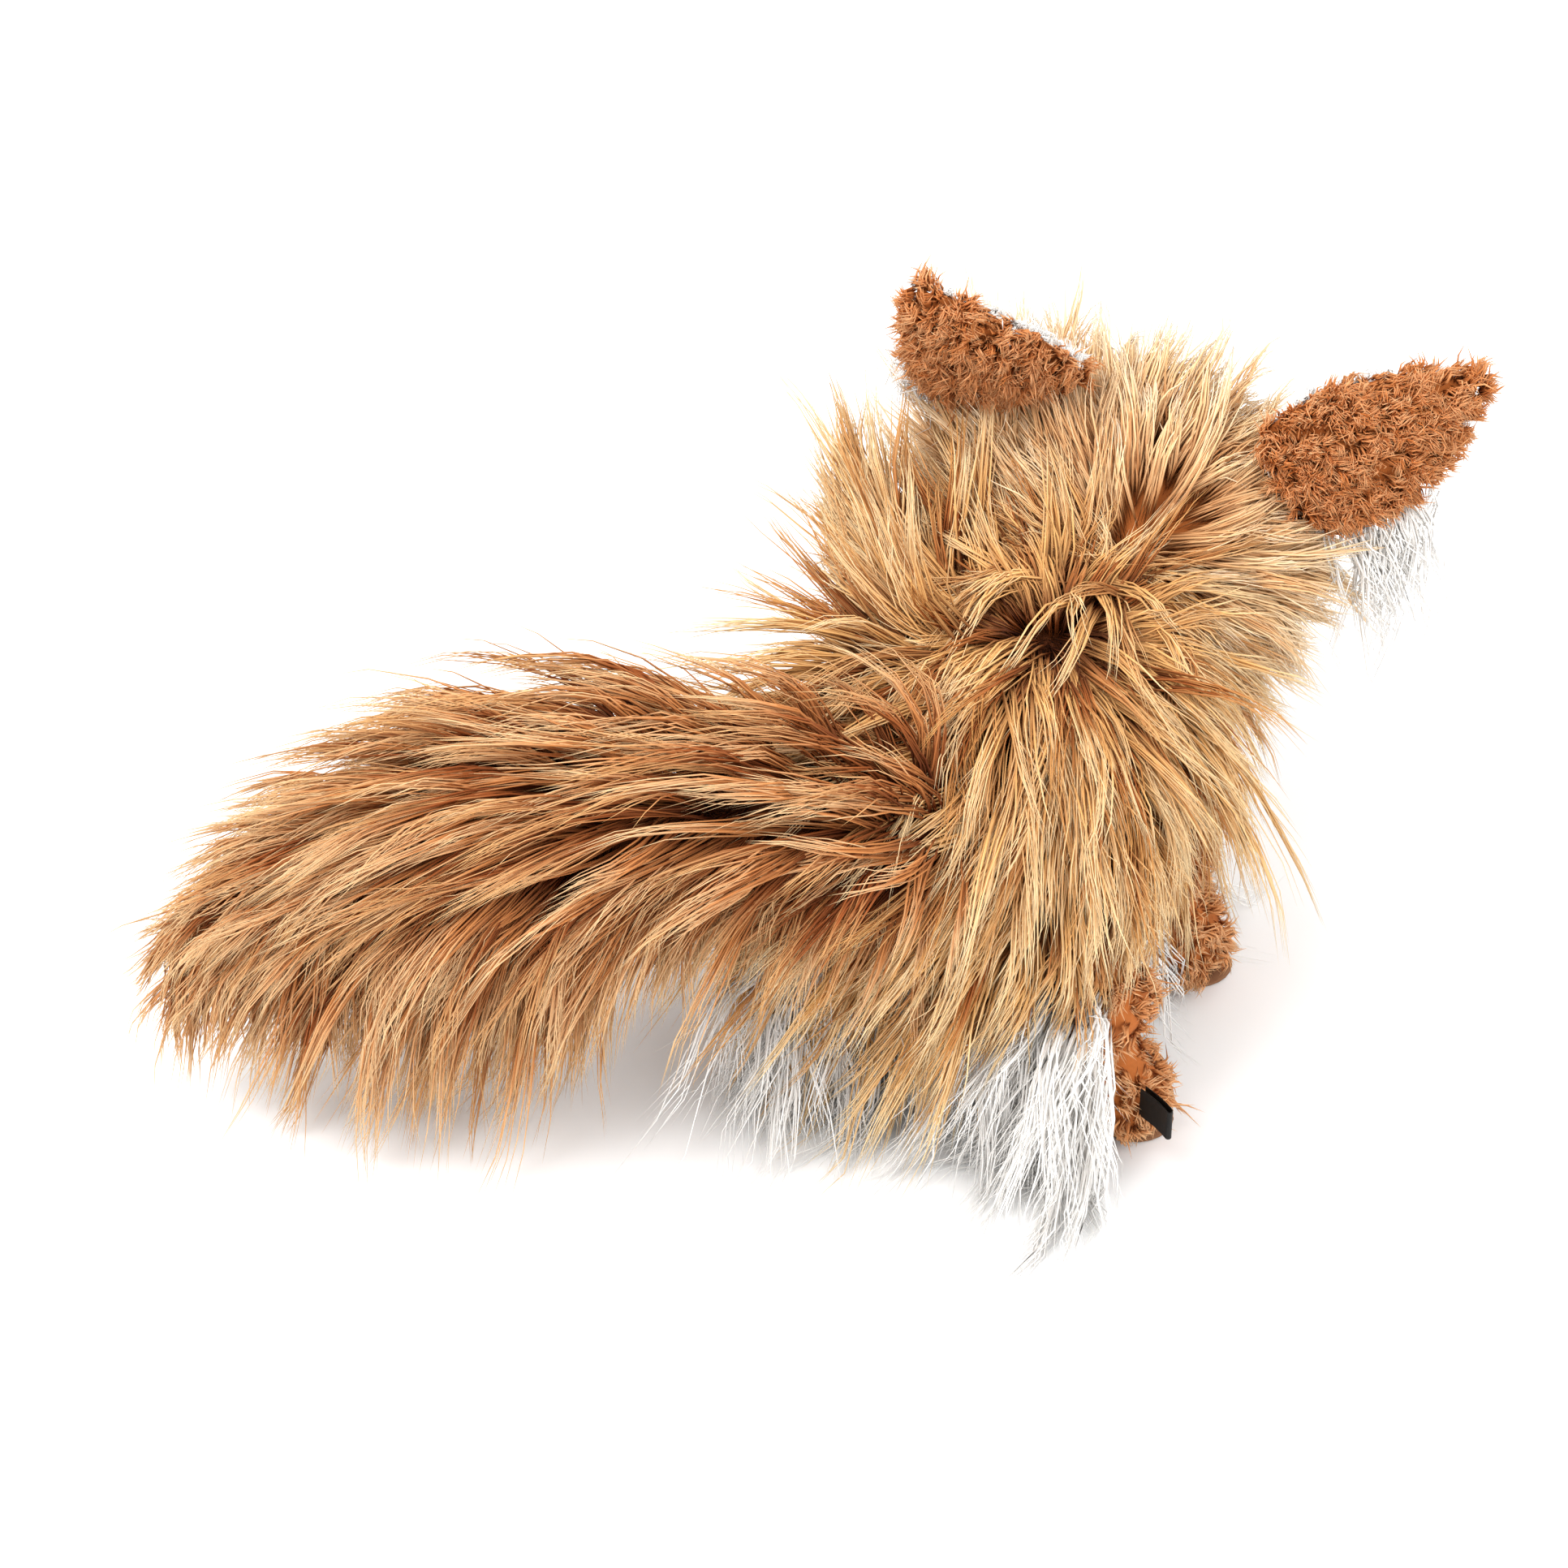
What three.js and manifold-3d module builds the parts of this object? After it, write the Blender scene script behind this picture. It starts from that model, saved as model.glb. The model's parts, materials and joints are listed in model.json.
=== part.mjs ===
// A stuffed long-haired lap dog standing on four short legs, in millimetres, +Z up and its nose towards +Y.
// Each cover is as thick as its pile lies, so its outer face is where the coat ends on average.
import * as THREE from "three";
import { mergeVertices } from "three/addons/utils/BufferGeometryUtils.js";
import Module from "manifold-3d";

const wasm = await Module();
wasm.setup();

// Clearances
const GAP = 0.3;
const CUT_MARGIN = 0.2;

// Coat thicknesses as they lie
const LONG_PILE = 15;
const SHORT_PILE = 5;

// Trunk
const SHOULDER_RADIUS = 54;
const SHOULDER_HEIGHT = 98;
const RUMP_LENGTH = 100;
const RUMP_HALF_WIDTH = 70;
const RUMP_HALF_HEIGHT = 52;
const RUMP_DROP = 12;
const RUMP_PLUMPNESS = 3;
const SIDE_SEAM_HEIGHT = 74;

// Neck
const RUFF_THICKNESS = 4;
const RUFF_REACH = 62;
const RUFF_LEAN = 18;
const RUFF_BELOW = 20;
const HEAD_TURN = 4;
const TURN_RANGE = 30;
const NOD_RANGE = { down: 15, up: 18 };

// Head, from its own centre
const HEAD_FORWARD = 74;
const HEAD_ABOVE = 19;
const SKULL_HALF_WIDTH = 51;
const SKULL_HALF_LENGTH = 45;
const SKULL_HALF_HEIGHT = 40;
const FACE_SEAM_FORWARD = 4;

// Muzzle, nose and eyes
const MUZZLE_HALF_WIDTH = 24;
const MUZZLE_HALF_LENGTH = 30;
const MUZZLE_HALF_HEIGHT = 20;
const MUZZLE_FORWARD = 40;
const MUZZLE_BELOW = 15;
const EYE_RADIUS = 9;
const EYE_DOME = 7;
const EYE_SIDE_ANGLE = 31;
const EYE_RAISE_ANGLE = 6;
const NOSE_RADIUS = 8;
const NOSE_DOME = 7;
const NOSE_RAISE_ANGLE = 24;
const SHANK_RADIUS = 2;
const SHANK_LENGTH = 11;
const EYE_WASHER_RADIUS = 6.5;
const NOSE_WASHER_RADIUS = 4.2;
const WASHER_THICKNESS = 1.5;
const WASHER_DEPTH = 2.2;

// Ears: where each sits round the head, how far it lies over and how far it is tipped back
const EAR_LENGTH = 68;
const EAR_WIDTH = 46;
const EAR_PANEL = 4.2;
const EAR_CUP = 7;
const EAR_ROLL_RADIUS = 5;
const EAR_ROLL_LENGTH = 30;
const EAR_SEAT_BACK = 4;
const LEFT_EAR = { place: 65, lean: 62, tip: 30 };
const RIGHT_EAR = { place: 37, lean: 30, tip: -27 };
const EAR_FOLD = 25;

// Legs
const HIP_RADIUS = 20;
const HIP_HEIGHT = 52;
const SHAFT_RADIUS = 15;
const PAW_RADIUS = 18;
const PAW_HEIGHT = 15;
const PAW_FORWARD = 7;
const LEG_SPLAY = 12;
const PAD_THICKNESS = 1.4;
const PAD_RADIUS = 12;
const HIND_HIP = { side: 46, back: 40 };
const FRONT_HIP = { side: 38, ahead: 34 };
const BALL_AHEAD = 28;

// White locks that hang under the belly and behind the hind legs
const BELLY_LOCKS = { halfWidth: 29, halfLength: 36, back: 70, low: 3, high: 60 };
const LEG_LOCKS = { halfWidth: 11, halfDepth: 13, halfHeight: 17, back: 12, below: 31 };

// Tail
const TAIL_BALL_RADIUS = 24;
const TAIL_SEAT_THICKNESS = 3;
const TAIL_SEAT_REACH = 74;
const TAIL_LENGTH = 236;
const TAIL_NECK_RADIUS = 20;
const TAIL_PLUME_RADIUS = 49;
const TAIL_TIP_RADIUS = 12;
const TAIL_CORE_SHARE = 0.42;
const TAIL_ARCH = 18;
const TAIL_DROOP = 54;
const TAIL_FRINGE = 0.7;
const TAIL_SIDEWAYS = 68;
const TAIL_ROOT = { left: 6, back: 90, above: 18 };
const TAIL_SWING = { out: 6, back: 75 };
const TAIL_LIFT = { down: 4, up: 40 };
const TAIL_OPENING = 6;

// Steps in degrees at which the tail is cleared of the trunk as it moves
const SWING_STEP = 9;
const LIFT_STEP = 11;

// Label
const LABEL_WIDTH = 14;
const LABEL_HEIGHT = 11;
const LABEL_THICKNESS = 0.9;
const LABEL_LEVEL = 24;
const LABEL_TURN = -35;

// Facets
const AROUND = 20;
const SMALL_AROUND = 12;
const LARGE = 400;

const rad = THREE.MathUtils.degToRad;

// One cloth, plastic or filling look per kind of material
function material(color, roughness) {
  return new THREE.MeshStandardMaterial({ color, roughness, metalness: 0 });
}
const brownFur = material("#b9855c", 0.95);
const blondFur = material("#d8b088", 0.95);
const whiteFur = material("#e4dacb", 0.95);
const shortFur = material("#b4784a", 0.95);
const paleFur = material("#ddcdb8", 0.95);
const padCloth = material("#a97d5e", 0.9);
const filling = material("#eceae6", 1);
const glossBlack = material("#14100e", 0.12);
const dullPlastic = material("#d9d6cf", 0.5);
const satin = material("#17130f", 0.55);

// A geometry as a solid that can be cut
function solid(geometry) {
  const bare = geometry.clone();
  bare.deleteAttribute("normal");
  bare.deleteAttribute("uv");
  const welded = mergeVertices(bare, 1e-3);
  return new wasm.Manifold(
    new wasm.Mesh({
      numProp: 3,
      vertProperties: welded.attributes.position.array,
      triVerts: new Uint32Array(welded.index.array),
    }),
  );
}

// The largest body of a cut solid as a geometry again
function surface(body) {
  const pieces = body.decompose();
  pieces.sort((a, b) => b.volume() - a.volume());
  const { vertProperties, triVerts } = pieces[0].getMesh();
  const geometry = new THREE.BufferGeometry();
  geometry.setAttribute("position", new THREE.BufferAttribute(new Float32Array(vertProperties), 3));
  geometry.setIndex(new THREE.BufferAttribute(new Uint32Array(triVerts), 1));
  geometry.computeVertexNormals();
  return geometry;
}

function cut(geometry, ...tools) {
  const left = tools.reduce((body, tool) => body.subtract(solid(tool)), solid(geometry));
  return surface(left);
}

function join(geometry, ...others) {
  const whole = others.reduce((body, other) => body.add(solid(other)), solid(geometry));
  return surface(whole);
}

// A large block with one face at the given distance along an axis, lying on its plus or minus side
function block(axis, at, side) {
  const box = new THREE.BoxGeometry(LARGE * 2, LARGE * 2, LARGE * 2);
  const offset = { x: 0, y: 0, z: 0 };
  offset[axis] = at + side * LARGE;
  return box.translate(offset.x, offset.y, offset.z);
}

// A copy of a geometry carried from the frame of one group to that of another
function carried(geometry, from, to) {
  const matrix = to.matrixWorld.clone().invert().multiply(from.matrixWorld);
  return geometry.clone().applyMatrix4(matrix);
}

// The radius whose facets all stay outside a ball with its clearance
function clearRadius(radius, around = AROUND) {
  return (radius + GAP) / Math.cos(Math.PI / around) ** 2;
}

// A ball with its poles up and down
function ball(radius) {
  return new THREE.SphereGeometry(radius, AROUND, AROUND / 2).rotateX(Math.PI / 2);
}

function egg(halfWidth, halfLength, halfHeight) {
  return ball(1).scale(halfWidth, halfLength, halfHeight);
}

// A shape turned round +Z from pairs of radius and height
function turned(profile, around = SMALL_AROUND) {
  const points = profile.map(([radius, height]) => new THREE.Vector2(radius, height));
  return new THREE.LatheGeometry(points, around).rotateX(Math.PI / 2);
}

// Rings of points skinned into one closed surface, its first and last rings drawn to a point
function skinned(rings) {
  const points = [];
  const faces = [];
  const last = rings.length - 1;
  rings.forEach(({ centre, side, top, under = top }, row) => {
    for (let i = 0; i < AROUND; i++) {
      const turn = (2 * Math.PI * i) / AROUND;
      const point = centre.clone();
      if (row > 0 && row < last) {
        const height = Math.sin(turn);
        point.addScaledVector(side, Math.cos(turn)).addScaledVector(height < 0 ? under : top, height);
      }
      points.push(point.x, point.y, point.z);
    }
  });
  for (let row = 0; row < last; row++) {
    for (let i = 0; i < AROUND; i++) {
      const next = (i + 1) % AROUND;
      const [a, b] = [row * AROUND + i, row * AROUND + next];
      const [c, d] = [a + AROUND, b + AROUND];
      if (row > 0) faces.push(a, b, c);
      if (row < last - 1) faces.push(b, d, c);
    }
  }
  const geometry = new THREE.BufferGeometry();
  geometry.setAttribute("position", new THREE.Float32BufferAttribute(points, 3));
  geometry.setIndex(faces);
  return mergeVertices(geometry, 1e-3);
}

// The bowl of a ball seat: a cap of a hollow ball about +Z, from its inner radius out
function bowl(inner, thickness, reach) {
  const steps = 5;
  const arc = (radius, step) => {
    const angle = rad(reach * (step / steps));
    return [radius * Math.sin(angle), radius * Math.cos(angle)];
  };
  const outside = Array.from({ length: steps + 1 }, (_, step) => arc(inner + thickness, steps - step));
  const inside = Array.from({ length: steps + 1 }, (_, step) => arc(inner, step));
  outside[steps][0] = 0;
  inside[0][0] = 0;
  return turned([...inside, ...outside], AROUND);
}

// Frames: one group for each piece of the dog that moves, placed at its pivot
const dog = new THREE.Group();
const trunk = new THREE.Group();
trunk.position.z = SHOULDER_HEIGHT;
dog.add(trunk);

const neck = new THREE.Group();
neck.rotation.z = rad(HEAD_TURN);
trunk.add(neck);

const head = new THREE.Group();
neck.add(head);

const tailRoot = new THREE.Group();
tailRoot.position.set(-TAIL_ROOT.left, -TAIL_ROOT.back, TAIL_ROOT.above);
tailRoot.rotation.z = rad(-TAIL_SIDEWAYS);
trunk.add(tailRoot);

const tail = new THREE.Group();
tailRoot.add(tail);

function hip(across, along) {
  const group = new THREE.Group();
  group.position.set(across, along, HIP_HEIGHT - SHOULDER_HEIGHT);
  trunk.add(group);
  return group;
}
// The shoulder ball is the frame's middle, and hips are measured from a point behind it
const legs = {
  hind_left: hip(-HIND_HIP.side, -HIND_HIP.back - BALL_AHEAD),
  hind_right: hip(HIND_HIP.side, -HIND_HIP.back - BALL_AHEAD),
  front_left: hip(-FRONT_HIP.side, FRONT_HIP.ahead - BALL_AHEAD),
  front_right: hip(FRONT_HIP.side, FRONT_HIP.ahead - BALL_AHEAD),
};

const headMiddle = new THREE.Vector3(0, HEAD_FORWARD, HEAD_ABOVE);

// An ear's group: +Y runs along the ear, +X along its root and +Z to its back
function earFrame(seat, sideways) {
  const place = rad(seat.place);
  const out = sideways * (SKULL_HALF_WIDTH + LONG_PILE) * Math.cos(place);
  const above = (SKULL_HALF_HEIGHT + LONG_PILE) * Math.sin(place);
  const root = new THREE.Vector3(out, -EAR_SEAT_BACK, above);
  const along = new THREE.Vector3(sideways * Math.cos(rad(seat.lean)), 0, Math.sin(rad(seat.lean)));
  const backward = new THREE.Vector3(0, -1, 0);
  const across = along.clone().cross(backward);
  along.applyAxisAngle(across, rad(seat.tip));
  backward.applyAxisAngle(across, rad(seat.tip));
  const group = new THREE.Group();
  group.position.copy(root).add(headMiddle);
  group.quaternion.setFromRotationMatrix(new THREE.Matrix4().makeBasis(across, along, backward));
  head.add(group);
  return group;
}
const leftEar = earFrame(LEFT_EAR, -1);
const rightEar = earFrame(RIGHT_EAR, 1);

const label = new THREE.Group();
const labelReach = SHAFT_RADIUS + GAP + LABEL_THICKNESS;
legs.hind_right.add(label);

dog.updateMatrixWorld(true);

// Trunk: a shoulder ball in front that runs into a plump rump behind
function trunkForm(inset) {
  const rings = [];
  const ballRadius = SHOULDER_RADIUS - inset;
  const ring = (y, z, halfWidth, halfHeight) =>
    rings.push({
      centre: new THREE.Vector3(0, y, z),
      side: new THREE.Vector3(-halfWidth, 0, 0),
      top: new THREE.Vector3(0, 0, halfHeight),
    });
  const rumpSteps = 7;
  for (let i = 0; i < rumpSteps; i++) {
    const back = Math.cos((Math.PI / 2) * (i / rumpSteps));
    const swell = (1 - back ** RUMP_PLUMPNESS) ** (1 / RUMP_PLUMPNESS);
    const change = THREE.MathUtils.smoothstep(back, 0, 1);
    const halfWidth = THREE.MathUtils.lerp(SHOULDER_RADIUS, RUMP_HALF_WIDTH, change) - inset;
    const halfHeight = THREE.MathUtils.lerp(SHOULDER_RADIUS, RUMP_HALF_HEIGHT, change) - inset;
    ring(-(RUMP_LENGTH - inset) * back, -RUMP_DROP * back * back, halfWidth * swell, halfHeight * swell);
  }
  const ballSteps = 5;
  for (let i = 0; i <= ballSteps; i++) {
    const turn = (Math.PI / 2) * (i / ballSteps);
    const radius = ballRadius * Math.cos(turn);
    ring(ballRadius * Math.sin(turn), 0, radius, radius);
  }
  return skinned(rings);
}

const hipSocket = ball(clearRadius(HIP_RADIUS));
const tailSeatInner = clearRadius(TAIL_BALL_RADIUS);
const tailSocket = ball(clearRadius(tailSeatInner + TAIL_SEAT_THICKNESS));
const trunkSockets = [
  ...Object.values(legs).map((leg) => carried(hipSocket, leg, trunk)),
  carried(tailSocket, tailRoot, trunk),
];

// The hanging locks between the hind legs as one skirt, drawn in a little above and below
function bellyLocks() {
  const { halfWidth, halfLength, back, low, high } = BELLY_LOCKS;
  const skirt = turned(
    [
      [0, low],
      [0.85, low],
      [1, (low * 2 + high) / 3],
      [0.9, high],
      [0, high],
    ],
    AROUND,
  );
  return skirt.scale(halfWidth, halfLength, 1).translate(0, -back, -SHOULDER_HEIGHT);
}

function makeTrunk() {
  const seam = SIDE_SEAM_HEIGHT - SHOULDER_HEIGHT;
  const shell = cut(join(trunkForm(0), bellyLocks()), trunkForm(LONG_PILE), ...trunkSockets);
  add(trunk, "back_cover", cut(shell, block("z", seam + GAP / 2, -1)), brownFur);
  add(trunk, "belly_cover", cut(shell, block("z", seam - GAP / 2, 1)), whiteFur);
  add(trunk, "trunk_stuffing", cut(trunkForm(LONG_PILE + GAP), ...trunkSockets), filling);
}

// Neck: a bowl of ruff fabric lying on the shoulder ball under the head
const ruffInner = clearRadius(SHOULDER_RADIUS);
const headSocket = ball(clearRadius(ruffInner + RUFF_THICKNESS));

function makeNeck() {
  const ruff = bowl(ruffInner, RUFF_THICKNESS, RUFF_REACH);
  ruff.rotateX(rad(RUFF_LEAN - 90));
  add(neck, "neck_ruff", cut(ruff, block("z", -RUFF_BELOW, -1)), blondFur);
}

// Head
function headForm(grow) {
  const form = egg(SKULL_HALF_WIDTH + grow, SKULL_HALF_LENGTH + grow, SKULL_HALF_HEIGHT + grow);
  return form.translate(headMiddle.x, headMiddle.y, headMiddle.z);
}

// A button's group: +Z stands out of the coat at the given angles from straight ahead
function buttonFrame(form, middle, sideAngle, raiseAngle) {
  const out = new THREE.Vector3(0, 1, 0);
  out.applyAxisAngle(new THREE.Vector3(1, 0, 0), rad(raiseAngle));
  out.applyAxisAngle(new THREE.Vector3(0, 0, 1), rad(-sideAngle));
  const [a, b, c] = form;
  const distance = 1 / Math.sqrt((out.x / a) ** 2 + (out.y / b) ** 2 + (out.z / c) ** 2);
  const group = new THREE.Group();
  group.position.copy(middle).addScaledVector(out, distance);
  const square = new THREE.Vector3(out.x / a ** 2, out.y / b ** 2, out.z / c ** 2).normalize();
  group.quaternion.setFromUnitVectors(new THREE.Vector3(0, 0, 1), square);
  head.add(group);
  group.updateMatrixWorld(true);
  return group;
}

// A button with its shank, from the cloth outwards, seated half way down the pile
const BUTTON_SEAT = SHORT_PILE / 2;

function button(radius, dome, grow) {
  const steps = 3;
  const rim = Array.from({ length: steps }, (_, step) => {
    const angle = (Math.PI / 2) * (step / steps);
    return [(radius + grow) * Math.cos(angle), BUTTON_SEAT + (dome + grow) * Math.sin(angle)];
  });
  const back = BUTTON_SEAT - grow;
  const end = BUTTON_SEAT - SHANK_LENGTH - grow;
  return turned([
    [0, end],
    [SHANK_RADIUS + grow, end],
    [SHANK_RADIUS + grow, back],
    [radius + grow, back],
    ...rim,
    [0, BUTTON_SEAT + dome + grow],
  ]);
}

// The flat washer behind the cloth
function washer(radius) {
  const top = -WASHER_DEPTH;
  const bottom = top - WASHER_THICKNESS;
  const hole = clearRadius(SHANK_RADIUS, SMALL_AROUND);
  return turned([
    [hole, bottom],
    [radius, bottom],
    [radius, top],
    [hole, top],
    [hole, bottom],
  ]);
}

// The room that a washer and its shank need in the stuffing
function washerRoom(radius) {
  const bottom = -WASHER_DEPTH - WASHER_THICKNESS - GAP;
  const end = BUTTON_SEAT - SHANK_LENGTH - GAP;
  const wide = clearRadius(radius, SMALL_AROUND);
  return turned([
    [0, end],
    [SHANK_RADIUS + GAP, end],
    [SHANK_RADIUS + GAP, bottom],
    [wide, bottom],
    [wide, SHORT_PILE],
    [0, SHORT_PILE],
  ]);
}

const skull = [SKULL_HALF_WIDTH, SKULL_HALF_LENGTH, SKULL_HALF_HEIGHT];
const muzzle = [MUZZLE_HALF_WIDTH, MUZZLE_HALF_LENGTH, MUZZLE_HALF_HEIGHT].map((half) => half - SHORT_PILE);
const muzzleMiddle = headMiddle.clone().add(new THREE.Vector3(0, MUZZLE_FORWARD, -MUZZLE_BELOW));
const eyeSize = { radius: EYE_RADIUS, dome: EYE_DOME, washerRadius: EYE_WASHER_RADIUS };
const noseSize = { radius: NOSE_RADIUS, dome: NOSE_DOME, washerRadius: NOSE_WASHER_RADIUS };
const buttons = [
  { name: "left_eye", ...eyeSize, group: buttonFrame(skull, headMiddle, -EYE_SIDE_ANGLE, EYE_RAISE_ANGLE) },
  { name: "right_eye", ...eyeSize, group: buttonFrame(skull, headMiddle, EYE_SIDE_ANGLE, EYE_RAISE_ANGLE) },
  { name: "nose", ...noseSize, group: buttonFrame(muzzle, muzzleMiddle, 0, NOSE_RAISE_ANGLE) },
];

function muzzleForm(grow) {
  const form = egg(muzzle[0] + grow, muzzle[1] + grow, muzzle[2] + grow);
  return form.translate(muzzleMiddle.x, muzzleMiddle.y, muzzleMiddle.z);
}

function earRoll(radius) {
  return new THREE.CapsuleGeometry(radius, EAR_ROLL_LENGTH, 3, SMALL_AROUND).rotateZ(Math.PI / 2);
}

// The places that the front hips take up as the head turns and nods, in the head's frame
function frontHipRooms() {
  const rooms = [];
  for (const leg of [legs.front_left, legs.front_right]) {
    for (const turn of [-1, -0.5, 0, 0.5, 1]) {
      for (const nod of [-NOD_RANGE.down, -NOD_RANGE.down / 2, 0, NOD_RANGE.up]) {
        const room = carried(hipSocket, leg, head);
        rooms.push(room.rotateZ(rad(-turn * TURN_RANGE)).rotateX(rad(-nod)));
      }
    }
  }
  return rooms;
}

function makeHead() {
  const seam = headMiddle.y + FACE_SEAM_FORWARD;
  const troughs = [leftEar, rightEar].map((ear) => carried(earRoll(clearRadius(EAR_ROLL_RADIUS)), ear, head));
  const pockets = buttons.map(({ radius, dome, group }) => carried(button(radius, dome, GAP), group, head));
  const rooms = buttons.map(({ washerRadius, group }) => carried(washerRoom(washerRadius), group, head));
  const skin = headForm(0);

  let rear = cut(headForm(LONG_PILE), skin, headSocket, block("y", seam - GAP / 2, 1), ...troughs);
  for (const room of frontHipRooms()) rear = cut(rear, room);
  add(head, "head_cover", rear, blondFur);
  const face = cut(headForm(SHORT_PILE), skin, headSocket, block("y", seam + GAP / 2, -1), ...pockets);
  add(head, "face_cover", face, shortFur);
  add(head, "head_stuffing", cut(headForm(-GAP), headSocket, ...troughs, ...rooms), filling);

  const faceRoom = headForm(SHORT_PILE + GAP);
  add(head, "muzzle_cover", cut(muzzleForm(SHORT_PILE), muzzleForm(0), faceRoom, ...pockets), paleFur);
  add(head, "muzzle_stuffing", cut(muzzleForm(-GAP), faceRoom, ...rooms), filling);

  for (const { name, radius, dome, washerRadius, group } of buttons) {
    add(group, name, button(radius, dome, 0), glossBlack);
    add(group, `${name}_washer`, washer(washerRadius), dullPlastic);
  }
}

// Ears: a furry back and a lining, sewn along their edge, on a rolled root
function earPanel(front, back) {
  const half = EAR_WIDTH / 2;
  const outline = new THREE.Shape();
  outline.moveTo(-half * 0.72, 0);
  outline.bezierCurveTo(-half * 1.25, EAR_LENGTH * 0.35, -half * 0.8, EAR_LENGTH * 0.7, 0, EAR_LENGTH);
  outline.bezierCurveTo(half * 0.8, EAR_LENGTH * 0.7, half * 1.25, EAR_LENGTH * 0.35, half * 0.72, 0);
  outline.closePath();
  const panel = new THREE.ExtrudeGeometry(outline, {
    depth: back - front,
    bevelEnabled: false,
    curveSegments: 5,
    steps: 1,
  });
  panel.translate(0, 0, front);
  const point = panel.attributes.position;
  for (let i = 0; i < point.count; i++) {
    const across = point.getX(i) / half;
    const grown = point.getY(i) / EAR_LENGTH;
    point.setZ(i, point.getZ(i) + EAR_CUP * Math.sin(Math.PI * grown) - EAR_CUP * across * across * grown);
  }
  return panel;
}

function makeEar(group, name) {
  const steps = [-1, -0.5, 0, 0.5, 1].map((share) => rad(share * EAR_FOLD));
  const rear = cut(headForm(LONG_PILE + GAP), block("y", headMiddle.y + FACE_SEAM_FORWARD, 1));
  const coat = carried(rear, head, group);
  const face = carried(headForm(SHORT_PILE + GAP), head, group);
  const swept = steps.flatMap((angle) => [coat.clone().rotateX(angle), face.clone().rotateX(angle)]);
  const roll = earRoll(EAR_ROLL_RADIUS);
  const backPanel = cut(earPanel(GAP / 2, EAR_PANEL), ...swept);
  const lining = cut(earPanel(-EAR_PANEL, -GAP / 2), ...swept, earRoll(clearRadius(EAR_ROLL_RADIUS)));
  add(group, `${name}_back`, join(backPanel, roll), shortFur);
  add(group, `${name}_lining`, lining, paleFur);
}

// Legs: a hip ball, a shaft and a paw with a flat pad, leaning outwards and forwards towards the floor
function legProfile(inset) {
  const sole = PAD_THICKNESS + GAP - HIP_HEIGHT + inset;
  const ballRadius = HIP_RADIUS - inset;
  const paw = PAW_RADIUS - inset;
  const pawMiddle = PAW_HEIGHT - HIP_HEIGHT;
  const profile = [
    [0, sole],
    [paw * 0.72, sole],
    [paw * 0.95, (sole + pawMiddle) / 2],
    [paw, pawMiddle],
    [(paw + SHAFT_RADIUS - inset) / 2, (pawMiddle - HIP_RADIUS) / 2],
  ];
  for (let angle = -40; angle < 85; angle += 25) {
    profile.push([ballRadius * Math.cos(rad(angle)), ballRadius * Math.sin(rad(angle))]);
  }
  profile.push([0, ballRadius]);
  return profile;
}

// Moves each level of a leg below its ball outwards and forwards, most at the floor
function leaned(geometry, sideways) {
  const point = geometry.attributes.position;
  const start = -HIP_RADIUS * 0.6;
  for (let i = 0; i < point.count; i++) {
    const share = THREE.MathUtils.clamp((start - point.getZ(i)) / (HIP_HEIGHT + start), 0, 1);
    point.setX(i, point.getX(i) + sideways * LEG_SPLAY * share);
    point.setY(i, point.getY(i) + PAW_FORWARD * share * share);
  }
  return geometry;
}

function makeLeg(group, name, sideways) {
  const opening = turned([
    [0, 0],
    [HIP_RADIUS * 0.5, 0],
    [HIP_RADIUS * 0.5, HIP_RADIUS * 2],
    [0, HIP_RADIUS * 2],
  ]);
  let outer = leaned(turned(legProfile(0)), sideways);
  if (name.startsWith("hind")) {
    const { halfWidth, halfDepth, halfHeight, back, below } = LEG_LOCKS;
    const locks = egg(halfWidth, halfDepth, halfHeight).translate(0, -back, -below);
    outer = join(outer, leaned(locks, sideways));
  }
  const inner = leaned(turned(legProfile(SHORT_PILE)), sideways);
  const core = leaned(turned(legProfile(SHORT_PILE + GAP)), sideways);
  add(group, `${name}_leg_cover`, cut(outer, inner, opening), shortFur);
  add(group, `${name}_leg_stuffing`, core, filling);

  const pad = new THREE.CylinderGeometry(PAD_RADIUS, PAD_RADIUS, PAD_THICKNESS, AROUND).rotateX(Math.PI / 2);
  pad.translate(sideways * LEG_SPLAY, PAW_FORWARD, PAD_THICKNESS / 2 - HIP_HEIGHT);
  add(group, `${name}_paw_pad`, pad, padCloth);
}

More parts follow.
